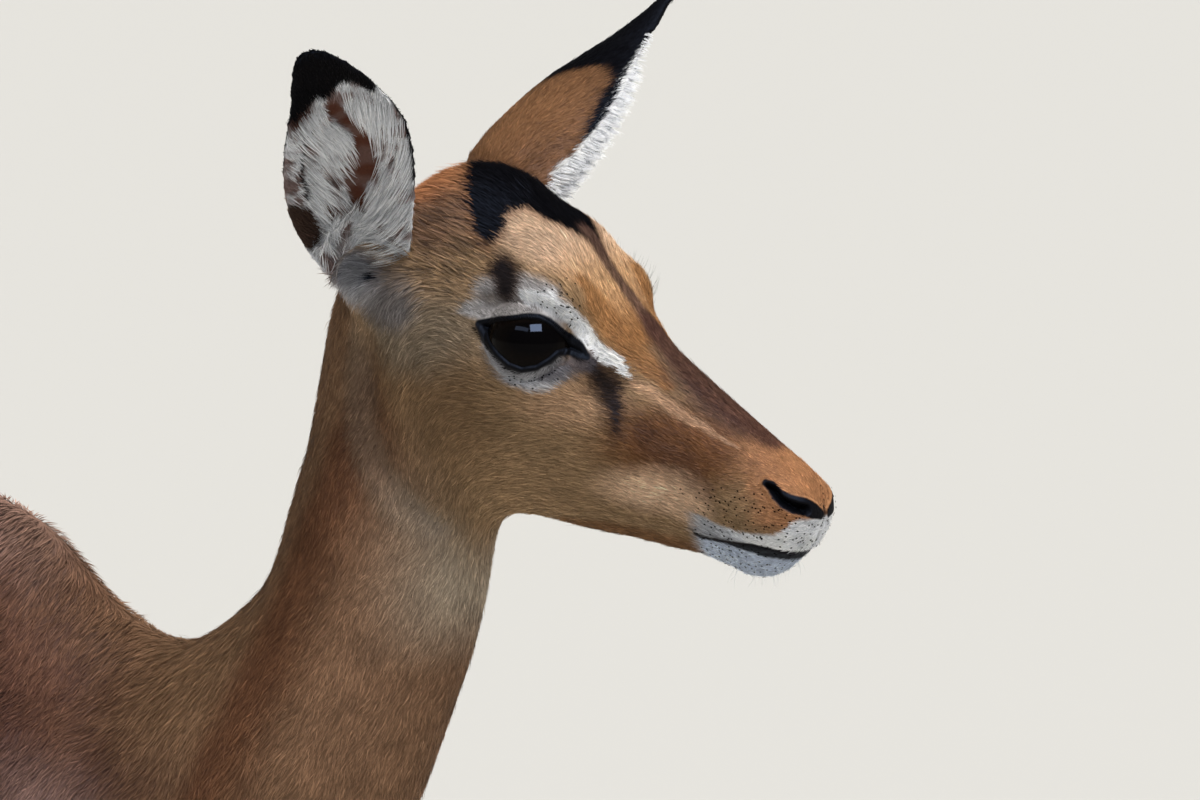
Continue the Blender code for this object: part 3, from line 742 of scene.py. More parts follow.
def cheek_marks(spot):
    x, _, z = spot.seen.T
    moved = spot.moved
    before_crease = moved - np.array((6, 0, 2))
    return [
        (CHEEK_DARK, 0.9, blot(moved, (-62, -36, -6), (34, 24, 42), 0.6)),
        (GREY_FAWN, 0.8, blot(moved, (-62, -40, 30), (30, 24, 16), 0.6)),
        (EAR_ROOT_GREY, 0.9, blot(moved, (-76, -42, 44), (13, 16, 10), 0.6)),
        (GREY_FAWN, 0.8, eased(x + 0.4 * z, -84, -98) * eased(z, 40, 20)),
        (PALE_GREY * 0.9, 0.9, blot(moved, (-92, -47, 54), (12, 12, 11), 0.5)),
        (BLACK, 1, blot(spot.seen, (-82.5, -46.5, 53.6), (2.3, 3, 2.3), 0.25)),
        (TAN_STREAK, 0.45, blot(moved, (6, -30, 2), (22, 14, 9), 0.6)),
        # painted shade in the crease behind the jaw
        (CHEEK_DARK * 0.6, 0.3, streak(before_crease, JAW_CREASE, (5, 7, 8, 8, 7, 5), 0.9)),
    ]


on_face = (beyond(folded_skin, HEAD_PLANE) > 0) & (folded_skin[:, 2] > -100)
face = account_of(folded_skin[on_face][::20])


def tell(name, marks):
    """Prints how much of the head the widest of the marks covers."""
    cover = [np.clip(strength * mask, 0, 1).mean() for _, strength, mask in marks]
    print(name, "wears", len(cover), "marks, the widest over", round(100 * max(cover)), "% of the head")


tell("the cheek", cheek_marks(face))

# %% [markdown]
# ## The muzzle
#
# Below the eye the face turns dark brown, with a pale hollow above the corner of the mouth. The end of the
# nose is orange. These are large soft areas, so blots make most of them.

# %% The muzzle's marks
MUZZLE_BROWN = paint(124, 84, 54)
MUZZLE_DARK = paint(102, 70, 50)
MUZZLE_LIGHT = paint(204, 172, 144)
NOSE_ORANGE = paint(178, 128, 90)
MUZZLE_SHADE = settled([(37.5, -22.5, -11), (46, -21, -18), (54, -19, -25), (62, -18, -32)])
JAW_LINE = settled([(-10, -6, -54), (10, -6, -56), (30, -6, -57), (52, -6, -61)])


def muzzle_marks(spot):
    x, _, z = spot.seen.T
    moved = spot.moved
    return [
        (MUZZLE_BROWN, 1, blot(moved, (52, -20, -14), (36, 18, 17), 0.5)),
        (MUZZLE_DARK, 0.8, streak(moved, MUZZLE_SHADE, (6, 8, 8, 6), 0.6)),
        # pale hair brightened beyond its own colour as painted light, since it faces down into shade
        (MUZZLE_LIGHT * 1.5, 0.95, blot(moved, (38, -18.5, -34), (19, 12, 8), 0.8)),
        (MUZZLE_LIGHT * 1.4, 0.6, blot(moved, (55, -15.5, -41), (11, 8, 6), 0.7)),
        (MUZZLE_BROWN, 0.75, streak(moved, JAW_LINE, (3, 5, 5, 6), 0.6)),
        (NOSE_ORANGE, 1, eased(x + 0.35 * z + spot.wobble * 3, 62, 82) * eased(z, -50, -42)),
    ]


tell("the muzzle", muzzle_marks(face))

# %% [markdown]
# ## The forehead
#
# The forehead is pale tan at the top, golden in the middle and brown towards the nose. Beside it the hair
# between the ears is loose and woolly, so light and shade break it up: dark lumps of grain stand for the
# gaps.

# %% The forehead's marks
PALE_TAN = paint(216, 184, 156)
GOLD = paint(206, 164, 122)
GOLDEN_BROWN = paint(160, 114, 72)
CROWN_RED = paint(166, 112, 76)
NO_LIGHT = np.zeros(3)
FOREHEAD = settled([(-20, -18, 74), (-6, -16, 67), (10, -12, 52), (26, -9, 34)])
GOLDEN_LINE = settled([(6, -22, 51), (12, -21, 43), (20, -18, 33), (32, -15, 21), (44, -14, 11)])


def forehead_marks(spot):
    x, _, z = spot.seen.T
    moved = spot.moved
    noseward = x - 0.8 * z
    tone = mix(PALE_TAN, GOLD, eased(noseward, -62, -30))
    tone = mix(tone, GOLDEN_BROWN, eased(noseward, -34, 4))
    lumps = eased(grain(spot.seen, 4.5, 17), -0.2, 0.5)
    return [
        (tone, 1, streak(moved, FOREHEAD, (16, 17, 15, 11), 0.45)),
        (GOLDEN_BROWN, 0.9, streak(moved, GOLDEN_LINE, (4, 6, 6, 5, 3), 0.5)),
        (SCRUFF, 1, blot(moved, (-60, -28, 76), (20, 18, 16), 0.5)),
        (CROWN_RED, 1, blot(moved, (-74, -12, 90), (24, 20, 13), 0.5)),
        (NO_LIGHT, 0.5, blot(moved, (-62, -30, 68), (24, 24, 26), 0.6) * lumps),
    ]


tell("the forehead", forehead_marks(face))

# %% [markdown]
# ## The crown patch and the stripe
#
# A black patch lies on the crown. A dark stripe runs from it down the forehead and widens into the
# chocolate bridge of the nose, edged by a tan streak. The patch has a shape of its own, so it is an outline
# seen from above, drawn for one half.

# %% The crown's marks
CHOCOLATE = paint(82, 56, 48)
STRIPE_BROWN = paint(96, 72, 62)
CROWN_PLAN = [
    (-61, 9), (-60, 0), (-54.5, -9), (-47.5, -21.5), (-42, -26), (-35, -27.5), (-30.5, -24.5), (-31.5, -19.5),
    (-27, -14.5), (-24, -13), (-16, -14), (-8, -10.5), (-2, -5), (2, -2), (2, 9),
]
STRIPE = settled([(-4, 0, 70), (3.5, -1, 61), (8.5, -1, 54), (16.5, -1, 45), (22, 0, 39), (28, 0, 32)])
BRIDGE = settled([(26, 0, 34), (37, 0, 22), (52, 0, 13), (62, 0, 5.5), (74, 0, -2.5), (86, 0, -10)])
TAN_LINE = settled([(29, -18.5, 12), (39, -17, 6.5), (48.5, -16, 0), (60, -14.5, -5.5), (76, -13, -13.5)])


def crown_marks(spot):
    moved = spot.moved
    patch = outline_distance(moved[:, 0], moved[:, 1], CROWN_PLAN) + spot.fine * 0.5
    on_top = spot.seen[:, 2] > 58
    speckled = CHOCOLATE * (1 + 0.5 * eased(spot.fine, 0.1, 0.7))[:, None]
    return [
        (CROWN_RED * 0.5, 0.6, eased(patch, -4, 0) * on_top),
        (BLACK, 1, eased(patch, -1.0, 0.7) * on_top),
        (STRIPE_BROWN, 0.92, streak(moved, STRIPE, (3.4, 2.8, 2.6, 3.0, 3.8, 5.5), 0.6)),
        (speckled, 0.95, streak(moved, BRIDGE, (4.5, 9, 12.5, 13, 11.5, 6), 0.55)),
        (TAN_STREAK, 0.7, streak(moved, TAN_LINE, (2.0, 2.4, 2.2, 1.6, 0.4), 0.9)),
    ]


tell("the crown", crown_marks(face))

# %% [markdown]
# ## Round the eye
#
# Above the eye lies a pale lid with a dark spot behind it, and a white brow line runs down to the tear
# corner. Below it lies a pale crescent, and a dark patch marks the scent gland before the corner. Both lids
# end in a bare black rim, thin above and broad below. Streaks draw the lines, and the distance to the
# opening draws the rims. The upper half comes first.

# %% The marks above the eye
PALE_LID = settled([(-33, -35, 49), (-26, -36, 51), (-17, -37.5, 51.5), (-8, -37.5, 51), (0, -36, 48)])
WHITE_LID = settled([(-12, -40, 47), (-6, -39.5, 47), (-1, -38, 45.5), (4, -35.5, 41.5)])
EYE_SPOT = settled([(-26.5, -32, 58), (-24.5, -33.5, 55.5), (-22, -37, 51)])
SPOT_SHADE = settled([(-22.5, -37.5, 48.5), (-27, -37.5, 47), (-32, -37.5, 45.5)])


def upper_lid_marks(spot):
    moved = spot.moved
    ring = eased(spot.edge, -9.5, -6.5) * spot.near_eye
    upper = eased(spot.level, 0, 3) * eased(spot.along, 17, 9)
    return [
        (PALE_GREY * 0.8, 0.8, ring * upper),
        (PALE_GREY * 0.9, 0.8, streak(moved, PALE_LID, (5.0, 6.0, 5.5, 5.0, 3.5), 0.7)),
        (DARK_FAWN * 0.8, 0.85, streak(moved, EYE_SPOT, (6.4, 7.6, 6.8), 0.5)),
        (CHARCOAL * 0.8, 0.95, streak(moved, EYE_SPOT, (4.6, 6.0, 4.8), 0.6)),
        (CHARCOAL, 0.5, streak(moved, SPOT_SHADE, (3.4, 3.4, 2.6), 0.8)),
        (WHITE, 0.95, streak(moved, WHITE_LID, (2.4, 3.2, 4.0, 3.6), 0.5)),
    ]


tell("the upper lid", upper_lid_marks(face))

# %% [markdown]
# The pale crescent, the gland's patch and the white brow line are laid after the upper lid, so that they
# run over its edge, and the black rim is laid last.

# %% The marks below and before the eye
LID_GREY = paint(110, 108, 110)
CORNER_SHADE_GREY = paint(84, 80, 86)
CRESCENT = settled([(-32, -41, 30), (-27.5, -42, 24), (-21.5, -42.5, 19.5), (-14.5, -42, 15),
                    (-7.5, -40, 12.5), (-1, -37.5, 13), (4, -35, 15.5)])
TEAR_LINE = settled([(10, -30, 23.5), (14.5, -27.5, 18.5), (17.5, -25.5, 14), (20, -24, 10), (22, -23.5, 6.5),
                     (24, -24, 2), (25.5, -25.5, -4), (25.5, -26, -10.5)])
CORNER_SHADE = settled([(-3, -38, 14.5), (3, -35, 17), (8, -32, 19.5), (12, -29.5, 20)])
BROW_LINE = settled([(4, -35.5, 41), (7, -32.5, 38.5), (9, -30, 34.5), (11, -28, 31), (14, -26.5, 27),
                     (16.5, -24.5, 24), (20, -23, 21.5), (23, -21, 19), (26, -19.5, 16), (28.5, -19, 13.5)])


def lower_lid_marks(spot):
    moved = spot.moved
    lower = eased(spot.level, 1.5, -2) * eased(spot.along, 15, 9) * eased(spot.along, -22, -14)
    crescent = streak(moved, CRESCENT, (2.0, 3.4, 4.6, 5.4, 5.4, 5.0, 3.6), 0.35)
    crescent = np.maximum(crescent, eased(spot.edge, -7, -5) * spot.near_eye * lower)
    rim = 1.4 + 0.8 * eased(spot.level, 1, -4)
    return [
        (PALE_GREY * 1.2, 0.95, crescent),
        (LID_GREY, 0.6, crescent * eased(spot.edge, -7, -3)),
        (DARK_FAWN, 0.85, streak(moved, TEAR_LINE, (4, 6.5, 8.5, 8.0, 6.5, 5.4, 4.6, 3.4), 0.9)),
        (CHARCOAL * 0.7, 0.9, streak(moved, TEAR_LINE, (0.2, 2.4, 5.2, 5.6, 4.2, 2.6, 1.4, 0.4), 1.0)),
        # painted shade in the hollow before the eye's corner
        (CORNER_SHADE_GREY, 0.85, streak(moved, CORNER_SHADE, (3.6, 6.4, 6.8, 4.8), 0.6)),
        (WHITE, 1, streak(moved, BROW_LINE, (3.2, 3.4, 3.9, 4.0, 3.8, 3.5, 3.3, 2.7, 1.6, 0.7), 0.3)),
        (CHARCOAL * 0.3, 0.95, eased(spot.edge, -rim - 0.8, -rim + 0.4) * spot.near_eye),
    ]


tell("the lower lid", lower_lid_marks(face))

# %% [markdown]
# ## Lips and chin
#
# Upper lip and chin are white, and a black line follows the closed mouth. Below that line a painted shadow
# falls where the chin is set back, and the chin's white is dimmed and blued as painted shade, since it faces
# down. How high the white reaches changes along the muzzle, so its upper limit is a short list of heights at
# given ways forwards.

# %% The lips' marks, and the whole head
LIP_TOP = ((50, 61, 67, 77, 96, 100, 103, 106, 110), (-42, -44, -46.5, -48.5, -48, -45.5, -42, -40.5, -41))
CHIN_SHADE = (0.62, 0.68, 0.78)  # the chin's white, dimmed and blued as painted shade, since the chin faces down


def lip_marks(spot):
    x, _, z = spot.seen.T
    lip_top = np.interp(x, *LIP_TOP) + spot.wobble * 0.5
    mouth = mouth_height(x)
    gap = eased(x, 66, 90) * 3.2
    return [
        (mix(PALE_GREY, WHITE, eased(x, 62, 84)), 1, eased(z - lip_top, 1.2, -0.8) * eased(x, 50, 60)),
        # the white chin under painted shade
        (WHITE * CHIN_SHADE, 1, eased(x + spot.wobble, 54, 60) * eased(z, mouth + 0.5, mouth - 0.5)),
        # painted shadow below the mouth's line, under the upper lip, reaching further down towards the front
        (CHARCOAL * 0.3, 0.95, eased(z + gap, mouth - 1.4, mouth - 0.4) * (z < mouth + 1) * (x > 54)),
        (CHARCOAL, 0.9, eased(path_distance(spot.seen, MOUTH)[0], 1.8, 0.9)),
        (BLACK * 0.7, 1, eased(spot.opening, -2.0, -1.2) * spot.near_eye),  # the bare edge of the lids
    ]


HEAD_MARKS = (cheek_marks, muzzle_marks, forehead_marks, crown_marks, upper_lid_marks, lower_lid_marks,
              lip_marks)


def head_colours(seen):
    spot, colours = account_of(seen), CHEEK
    for marks in HEAD_MARKS:
        colours = laid(colours, marks(spot))
    return colours


tell("the lip", lip_marks(face))
print("the head is painted in", len(HEAD_MARKS), "rounds")

# %% [markdown]
# ## The ears' markings
#
# An ear is brown behind and silky white inside, with a bare brown strip down its middle that has side
# branches between the locks, and a black tip and margin. Places are given along and across the ear: paths
# in millimetres for both, and the edges of tips as shares of the length at given places across.

# %% Where the bare skin, the tip and the white of an ear lie
EAR_BACK = paint(136, 98, 68)
BARE_EAR = paint(86, 46, 28)
DARK_EAR = paint(66, 50, 42)
BARE_STRIP = [(98, 0), (88.5, 1.5), (80, 4.5), (72.5, 8.5), (65.5, 10), (59, 9.5), (52, 8.5), (45, 5.5),
              (39, 3), (32, 2.5), (25, 2), (19, 2.5)]
BARE_WIDTH = [3.5, 4, 4, 4.5, 5, 5.5, 7, 8.5, 6.5, 4.5, 3.5, 3]
BARE_BRANCHES = [[(52.5, 13), (55, 17.5), (58.5, 20.5)], [(47, 0), (50, -6.5), (56, -13)],
                 [(31.5, -13.5), (26.5, -11.5), (21.5, -9.5)]]
MARGIN_LINE = [(83.5, -10.5), (83.5, -14), (76.5, -16.5), (67, -18.5), (60, -20), (53, -20), (44.5, -20)]
DARK_ROOT = [(48.5, -28), (47, -25), (40.5, -21), (36, -18.5), (30.5, -18.5), (25.5, -18.5), (21, -19),
             (17, -17.5), (16, -20.5), (23, -26.5), (30, -30), (40, -31)]
CUP_TIP = ((-18, -14, -7, 1, 5, 8, 14, 17), (0.69, 0.72, 0.74, 0.74, 0.79, 0.80, 0.79, 0.77))
BACK_TIP = ((-28, -10, 0, 8, 12, 15, 18, 21, 24, 26, 30),
            (0.46, 0.53, 0.59, 0.64, 0.64, 0.62, 0.57, 0.51, 0.45, 0.38, 0.35))
BACK_WHITE = ((0.20, 0.25, 0.36, 0.46, 0.53, 0.57, 0.64, 0.68, 0.77, 0.86),
              (28, 25, 26.5, 26.5, 24, 22.5, 17.5, 15, 10.5, 8))


def bare_share(flat, lumps):
    """How bare each place of the cup is: the strip down its middle and the gaps between the locks."""
    far, width = path_distance(flat, BARE_STRIP, BARE_WIDTH)
    strip = eased(far + lumps, width + 1.2, width - 1.2)
    gaps = [eased(path_distance(flat, branch)[0] + lumps, 3.2, 1.2) for branch in BARE_BRANCHES]
    return np.maximum.reduce([strip, *(0.8 * gap for gap in gaps)])


def from_dark_root(flat):
    """The signed distance to the dark root of the rear margin, positive inside it."""
    return outline_distance(flat[:, 0], flat[:, 1], DARK_ROOT)


print("the bare strip runs from", BARE_STRIP[-1][0], "to", BARE_STRIP[0][0], "mm up the ear")

# %% [markdown]
# Back and cup are painted apart, each from its own ground colour, and the way the skin faces then blends
# the two. Only one ear shows white on its back, where the hair of the cup comes round the front margin.

# %% The ears' marks
def ear_back_marks(share, across, moved, lumps, fringed):
    tip = np.interp(across, *BACK_TIP)
    marks = [
        (SCRUFF, 0.7, eased(share, 0.2, 0.05)),
        (EAR_BACK * 0.6, 0.6, eased(moved, tip - 0.09, tip - 0.02)),
        (BLACK, 1, eased(moved, tip - 0.02, tip + 0.02)),
    ]
    if fringed:
        white_from = np.interp(share, *BACK_WHITE)
        shown = eased(share, 0.88, 0.82) * (share > 0.18)
        marks.append((WHITE, 1, eased(across + 0.5 * lumps, white_from - 0.3, white_from + 0.6) * shown))
    return marks


def ear_cup_marks(flat, share, moved, lumps, fine, patches, inset):
    across = flat[:, 1]
    tip = np.interp(across, *CUP_TIP)
    rim = np.where(across > 0, 1.5 * eased(share, 0.2, 0.4) + 0.4, 0.5)
    return [
        (BARE_EAR * 1.3, 0.85, eased(patches, -0.1, 0.45)),
        (BARE_EAR, 0.95, bare_share(flat, lumps * 0.8)),
        (CHARCOAL, 0.95, eased(path_distance(flat, MARGIN_LINE)[0] + 0.3 * fine, 1.5, 0.7)),
        (DARK_EAR, 1, eased(from_dark_root(flat) + 0.8 * fine, -1.0, 1.0)),
        (BARE_EAR * 0.7, 0.85, eased(moved, tip - 0.08, tip - 0.03) * eased(across, -4, -9)),
        (BLACK, 1, eased(moved, tip - 0.012, tip + 0.012)),
        (BLACK, 1, eased(inset, rim + 0.5, rim - 0.3) * (share > 0.12)),
    ]


def ear_colours(points, normals, ear):
    share, across, _ = ear_places(points, ear)
    flat = np.column_stack([share * ear["length"], across])
    lumps, fine = grain(points, 6.0, 11), grain(points, 1.6, 12)
    moved = share + 0.015 * lumps + 0.01 * fine
    marks = ear_back_marks(share, across, moved, lumps, ear["fringed"])
    back = laid(EAR_BACK, marks)
    inset, patches = inset_of(share, across, ear), grain(points, 6.0, 13)
    marks = ear_cup_marks(flat, share, moved, lumps, fine, patches, inset)
    cup = laid(WHITE * 0.95, marks)
    return mix(back, cup, eased(normals @ ear["opening"], -0.1, 0.2))


print("the cup is black above", CUP_TIP[1][0], "of its length")

# %% [markdown]
# ## Neck and body
#
# The neck is fawn and pale at the throat. Behind its axis it turns red-brown and darker, the darkening partly
# painted shade, and along the nape a lighter rim is painted light from behind. Its marks go by how far before
# or behind its own axis a place lies, because the neck leans.

# %% The neck's colours
NECK = paint(146, 112, 86)
NECK_DARK = paint(120, 82, 58)
NAPE_RIM_LIGHT = paint(148, 116, 88)
THROAT = paint(198, 182, 160)
NECK_AXIS_X, NECK_AXIS_Z, NECK_LEAN = -96, 6, 0.414  # a place on the neck's axis, and how it leans forwards


def neck_colours(seen, wobble, off):
    ahead = seen[:, 0] - (NECK_AXIS_X + NECK_LEAN * (seen[:, 2] - NECK_AXIS_Z)) + wobble * 0.4
    behind_jaw = path_distance(seen + np.array((4, 0, 0)), JAW_CREASE)[0]
    return laid(NECK, [
        # darker behind the axis: the neck's own red-brown, with painted shade
        (NECK_DARK, 0.95, eased(ahead, 38, 6)),
        # painted rim light along the nape
        (NAPE_RIM_LIGHT, 0.8, eased(ahead, 0, -16)),
        (THROAT, 0.85, eased(ahead, 18, 42) * eased(off, 38, 14) * eased(seen[:, 2], -125, -80)),
        # painted shade on the neck behind the jaw's edge
        (GREY_FAWN, 0.4, eased(behind_jaw, 14, 4)),
    ])


print("the neck's middle colour:", neck_colours(NECK_PLANE[0][None], np.zeros(1), np.zeros(1))[0].round(2))

# %% [markdown]
# The body wears a red-brown saddle over paler flanks, a shoulder darkened as painted shade, a painted
# pinkish-grey sheen along the withers, a white belly, black stripes that edge the white of the buttocks, and
# black tufts above the hind heels. What faces backwards is told by the normals, because the white of the rump
# ends where the body turns to its side.

# %% The body's and the tail's colours
SADDLE = paint(136, 92, 70)
SHADED_SHOULDER_BROWN = paint(80, 55, 46)
PAINTED_WITHERS_SHEEN = paint(146, 116, 106)
FLANK = paint(172, 132, 98)
BELLY = paint(228, 222, 212)
LEG_FAWN = paint(166, 124, 92)
STRIPE_HEIGHTS, STRIPE_OFF = (470, 560, 660, 745), (74, 66, 54, 34)  # where the rump's white ends


def behind_hind_legs(points):
    """How much each place lies just behind a hind leg's hoof."""
    found = np.zeros(len(points))
    for side in ("right", "left"):
        middle = node_middle("hoof_hind_" + side + "_outer")
        near = np.abs(points[:, 1] - middle[1]) < 40
        found = np.maximum(found, near * eased(points[:, 0], middle[0] - 18, middle[0] - 34))
    return found


def body_colours(points, normals):
    seen, _ = from_head(points)
    x, z = points[:, 0], points[:, 2]
    off = np.abs(points[:, 1] - HEAD[1])
    wobble = grain(points, 30.0, 21) * 8 + grain(points, 9.0, 22) * 4
    belly_top = 492 + 0.06 * np.abs(x + 60)
    underneath = eased(off, 74, 58) * eased(z, 425, 445)
    colours = laid(FLANK, [
        (SADDLE, 1, eased(z + wobble + 0.04 * x, 585, 680)),
        # painted shade on the lower front of the trunk
        (SHADED_SHOULDER_BROWN, 0.9, eased(x, 70, 150) * eased(z + wobble, 540, 640)),
        # painted sheen along the top of the withers, and in a soft patch below them
        (PAINTED_WITHERS_SHEEN, 0.85, eased(x, 80, 115) * eased(z + wobble, 752, 784)),
        (PAINTED_WITHERS_SHEEN, 0.6, blot(seen, (-240, -74, -190), (28, 24, 26), 0.8)),
        (LEG_FAWN, 1, eased(z, 470, 380)),
        (BELLY, 1, eased(z + wobble, belly_top, belly_top - 24) * underneath),
    ])
    colours = mix(colours, neck_colours(seen, wobble, off), eased(beyond(seen, NECK_PLANE) + wobble, -70, 25))
    inner_leg = eased(off, 52, 44) * eased(z, 520, 470) * (z > 60)
    rump = eased(-normals[:, 0], 0.05, 0.35) * (x < TAIL_X + 150)
    stripe_off = np.interp(z, STRIPE_HEIGHTS, STRIPE_OFF) + wobble * 0.3
    white_rump = rump * eased(off, stripe_off, stripe_off - 5) * eased(z, 440, 500) * eased(z, 752, 736)
    stripe = rump * eased(np.abs(off - stripe_off - 3), 6, 3.5) * eased(z, 500, 545) * eased(z, 742, 726)
    heel_tuft = eased(np.abs(z - 122), 26, 14) * (x < TAIL_X + 140) * (z < 200)
    return laid(colours, [
        (BELLY, 0.6, inner_leg * eased(z, 120, 300)),
        (WHITE * 0.92, 1, white_rump),
        (BLACK, 1, stripe),
        (BLACK, 1, heel_tuft * behind_hind_legs(points)),
        (NECK_DARK, 0.5, eased(z, 60, 40)),
    ])


def tail_colours(points):
    off = np.abs(points[:, 1] - HEAD[1])
    behind = eased(points[:, 0], TAIL_X - 14, TAIL_X - 20)
    stripes = [(SADDLE, 1, behind * eased(off, 15, 11)), (BLACK, 1, behind * eased(off, 8, 5))]
    return laid(WHITE * 0.95, stripes)


print("the saddle's colour:", SADDLE.round(2), "and the flank's:", FLANK.round(2))

# %% [markdown]
# ## One answer for the whole coat
#
# A place is first given to a part, by the planes and by its height. Head and neck fade into each other over
# a few centimetres, so that no line shows. The result is stored on the mesh as a colour attribute, which
# any material can read, and the bare leather of the nose is laid over it.

# %% Which part is which
def part_of(points):
    """The name of the part that each point belongs to."""
    seen, _ = from_head(points)
    parts = np.full(len(points), "trunk", dtype="<U12")
    parts[beyond(seen, NECK_PLANE) > 0] = "neck"
    parts[(beyond(seen, HEAD_PLANE) > 0) & (seen[:, 2] > -100)] = "head"
    x, z = points[:, 0], points[:, 2]
    off = np.abs(points[:, 1] - HEAD[1])
    parts[(z < FRONT_LEG_TOP + 4) & (x > 0)] = "front_legs"
    parts[(z < 500) & (x < -230) & (off > 6)] = "hind_legs"
    parts[(x < TAIL_X) & (z > 380) & (off < 28)] = "tail"
    for side, ear in ears.items():
        parts[in_ear(points, ear)] = "ear_" + side
    return parts


def coat_colours(points, normals, parts):
    colours = np.zeros((len(points), 3))
    seen, _ = from_head(points)
    blend = eased(beyond(seen, HEAD_PLANE), -16, 8)
    head = (parts == "head") | ((parts == "neck") & (blend > 0))
    body = (parts != "tail") & ~np.char.startswith(parts, "ear") & ((parts != "head") | (blend < 1))
    colours[body] = body_colours(points[body], normals[body])
    colours[head] = mix(colours[head], head_colours(seen[head]), blend[head])
    colours[parts == "tail"] = tail_colours(points[parts == "tail"])
    for side, ear in ears.items():
        chosen = parts == "ear_" + side
        colours[chosen] = ear_colours(points[chosen], normals[chosen], ear)
    shade = 1 + 0.10 * grain(points, 14.0, 31) + 0.08 * grain(points, 3.0, 32)
    return np.clip(colours * shade[:, None], 0, 1)


def wear_colours(mesh, colours):
    """Stores one colour for each corner, under the name that the materials read."""
    layer = mesh.color_attributes.new(name="coat", type="FLOAT_COLOR", domain="POINT")
    opaque = np.column_stack([colours, np.ones(len(colours))])
    layer.data.foreach_set("color", opaque.astype(np.float32).ravel())


skin_parts = part_of(points)
skin_colours = over(coat_colours(points, normals, skin_parts), BLACK, leather)
wear_colours(skin.data, skin_colours)
print({name: int((skin_parts == name).sum()) for name in np.unique(skin_parts)})

# %% [markdown]
# ## Finishes
#
# Hide, hair, horn and eye differ most in how they shine. Each finish is a small node tree. Values that stay
# the same sit directly on the shader, and only what varies is wired in. The helpers build what several
# finishes share: a bump, a noise, a mottling and the stored markings.

# %% Helpers for finishes
def new_finish(name, roughness, specular=0.5, colour=(0.5, 0.5, 0.5)):
    material = bpy.data.materials.new(name)
    material.use_nodes = True
    shader = material.node_tree.nodes["Principled BSDF"]
    shader.inputs["Base Color"].default_value = (*colour, 1)
    shader.inputs["Roughness"].default_value = roughness
    shader.inputs["Specular IOR Level"].default_value = specular
    return material, material.node_tree.nodes, material.node_tree.links, shader


def new_node(nodes, kind, **values):
    """A node with the given values on its inputs. In their names an underscore stands for a blank."""
    node = nodes.new(kind)
    for name, value in values.items():
        node.inputs[name.replace("_", " ")].default_value = value
    return node


def wire_bump(nodes, links, shader, height, strength, distance):
    bump = new_node(nodes, "ShaderNodeBump", Strength=strength, Distance=distance * MM)
    links.new(height, bump.inputs["Height"])
    links.new(bump.outputs["Normal"], shader.inputs["Normal"])


def object_noise(nodes, links, scale, detail=3.0, stretch=(1, 1, 1)):
    place = new_node(nodes, "ShaderNodeTexCoord")
    mapping = new_node(nodes, "ShaderNodeMapping", Scale=stretch)
    noise = new_node(nodes, "ShaderNodeTexNoise", Scale=scale, Detail=detail)
    links.new(place.outputs["Object"], mapping.inputs["Vector"])
    links.new(mapping.outputs["Vector"], noise.inputs["Vector"])
    return noise.outputs["Fac"]


def mottled(nodes, links, colour_socket, factor, low, high):
    """The colour times a grey that runs from low to high with the factor."""
    spread = new_node(nodes, "ShaderNodeMapRange", To_Min=low, To_Max=high)
    links.new(factor, spread.inputs["Value"])
    product = nodes.new("ShaderNodeMix")
    product.data_type = "RGBA"
    product.blend_type = "MULTIPLY"
    product.inputs["Factor"].default_value = 1.0
    links.new(colour_socket, product.inputs["A"])
    links.new(spread.outputs["Result"], product.inputs["B"])
    return product.outputs["Result"]


def stored_colour(nodes):
    attribute = nodes.new("ShaderNodeAttribute")
    attribute.attribute_name = "coat"
    return attribute.outputs["Color"]


print("finishes read the colour attribute", skin.data.color_attributes[0].name)

# %% [markdown]
# Hide and hair both take their colour from the stored markings. The hide shows between the tufts, so a fine
# noise mottles it and lifts it as a bump, and it looks hairy too. Both are dull, since a coat scatters the
# light that falls on it. The skin then takes the place of the solids of flesh.

# %% Hide and hair
def make_hide():
    material, nodes, links, shader = new_finish("hide", 0.6, 0.06)
    fine = object_noise(nodes, links, 900.0, 4.0, (1, 1, 0.45))
    links.new(mottled(nodes, links, stored_colour(nodes), fine, 0.62, 1.12), shader.inputs["Base Color"])
    wire_bump(nodes, links, shader, fine, 0.6, 0.5)
    return material


def make_hair():
    material, nodes, links, shader = new_finish("hair", 0.55, 0.03)
    links.new(stored_colour(nodes), shader.inputs["Base Color"])
    return material


hide = make_hide()
hair = make_hair()
skin.data.materials.clear()
skin.data.materials.append(hide)
skin.data.shade_smooth()
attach(skin, "root")
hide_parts(*FLESH)
print("the skin takes the place of", len(FLESH), "solids")

# %% [markdown]
# ## The lie of the coat
#
# Hair lies like shingles, and every tuft needs the direction of its own place. Inside the ears the hair
# grows in locks that sweep across the cup in many ways, so guides say how single locks run, each from its
# root to its tip. Between them the direction is blended from the nearest ones.

# %% How the hair of the cup lies
LOCK_GUIDES = np.array([  # root and tip of a lock, along and across the ear in millimetres
    (80, -10.5, 58.5, 6.5), (71, -10, 39.5, -2.5), (49, -17, 27.5, -1), (45, -17, 16, -5.5),
    (73, -17, 53.5, -3.5), (51.5, -20.5, 27.5, -1), (85.5, -6, 67.5, 7), (105, 9.5, 67, 9),
    (100.5, 18.5, 63.5, 13.5), (86.5, 24.5, 50, 16.5), (67.5, 28, 40.5, 9.5), (50, 25, 27, 2),
    (30.5, 20.5, 17.5, 2.5), (5.5, 10, 6.5, 6), (2, -10, 18, -14.5), (2, -8, 10.5, -3), (2, -5, 4.5, 6.5),
    (100, 0, 85, 2)])


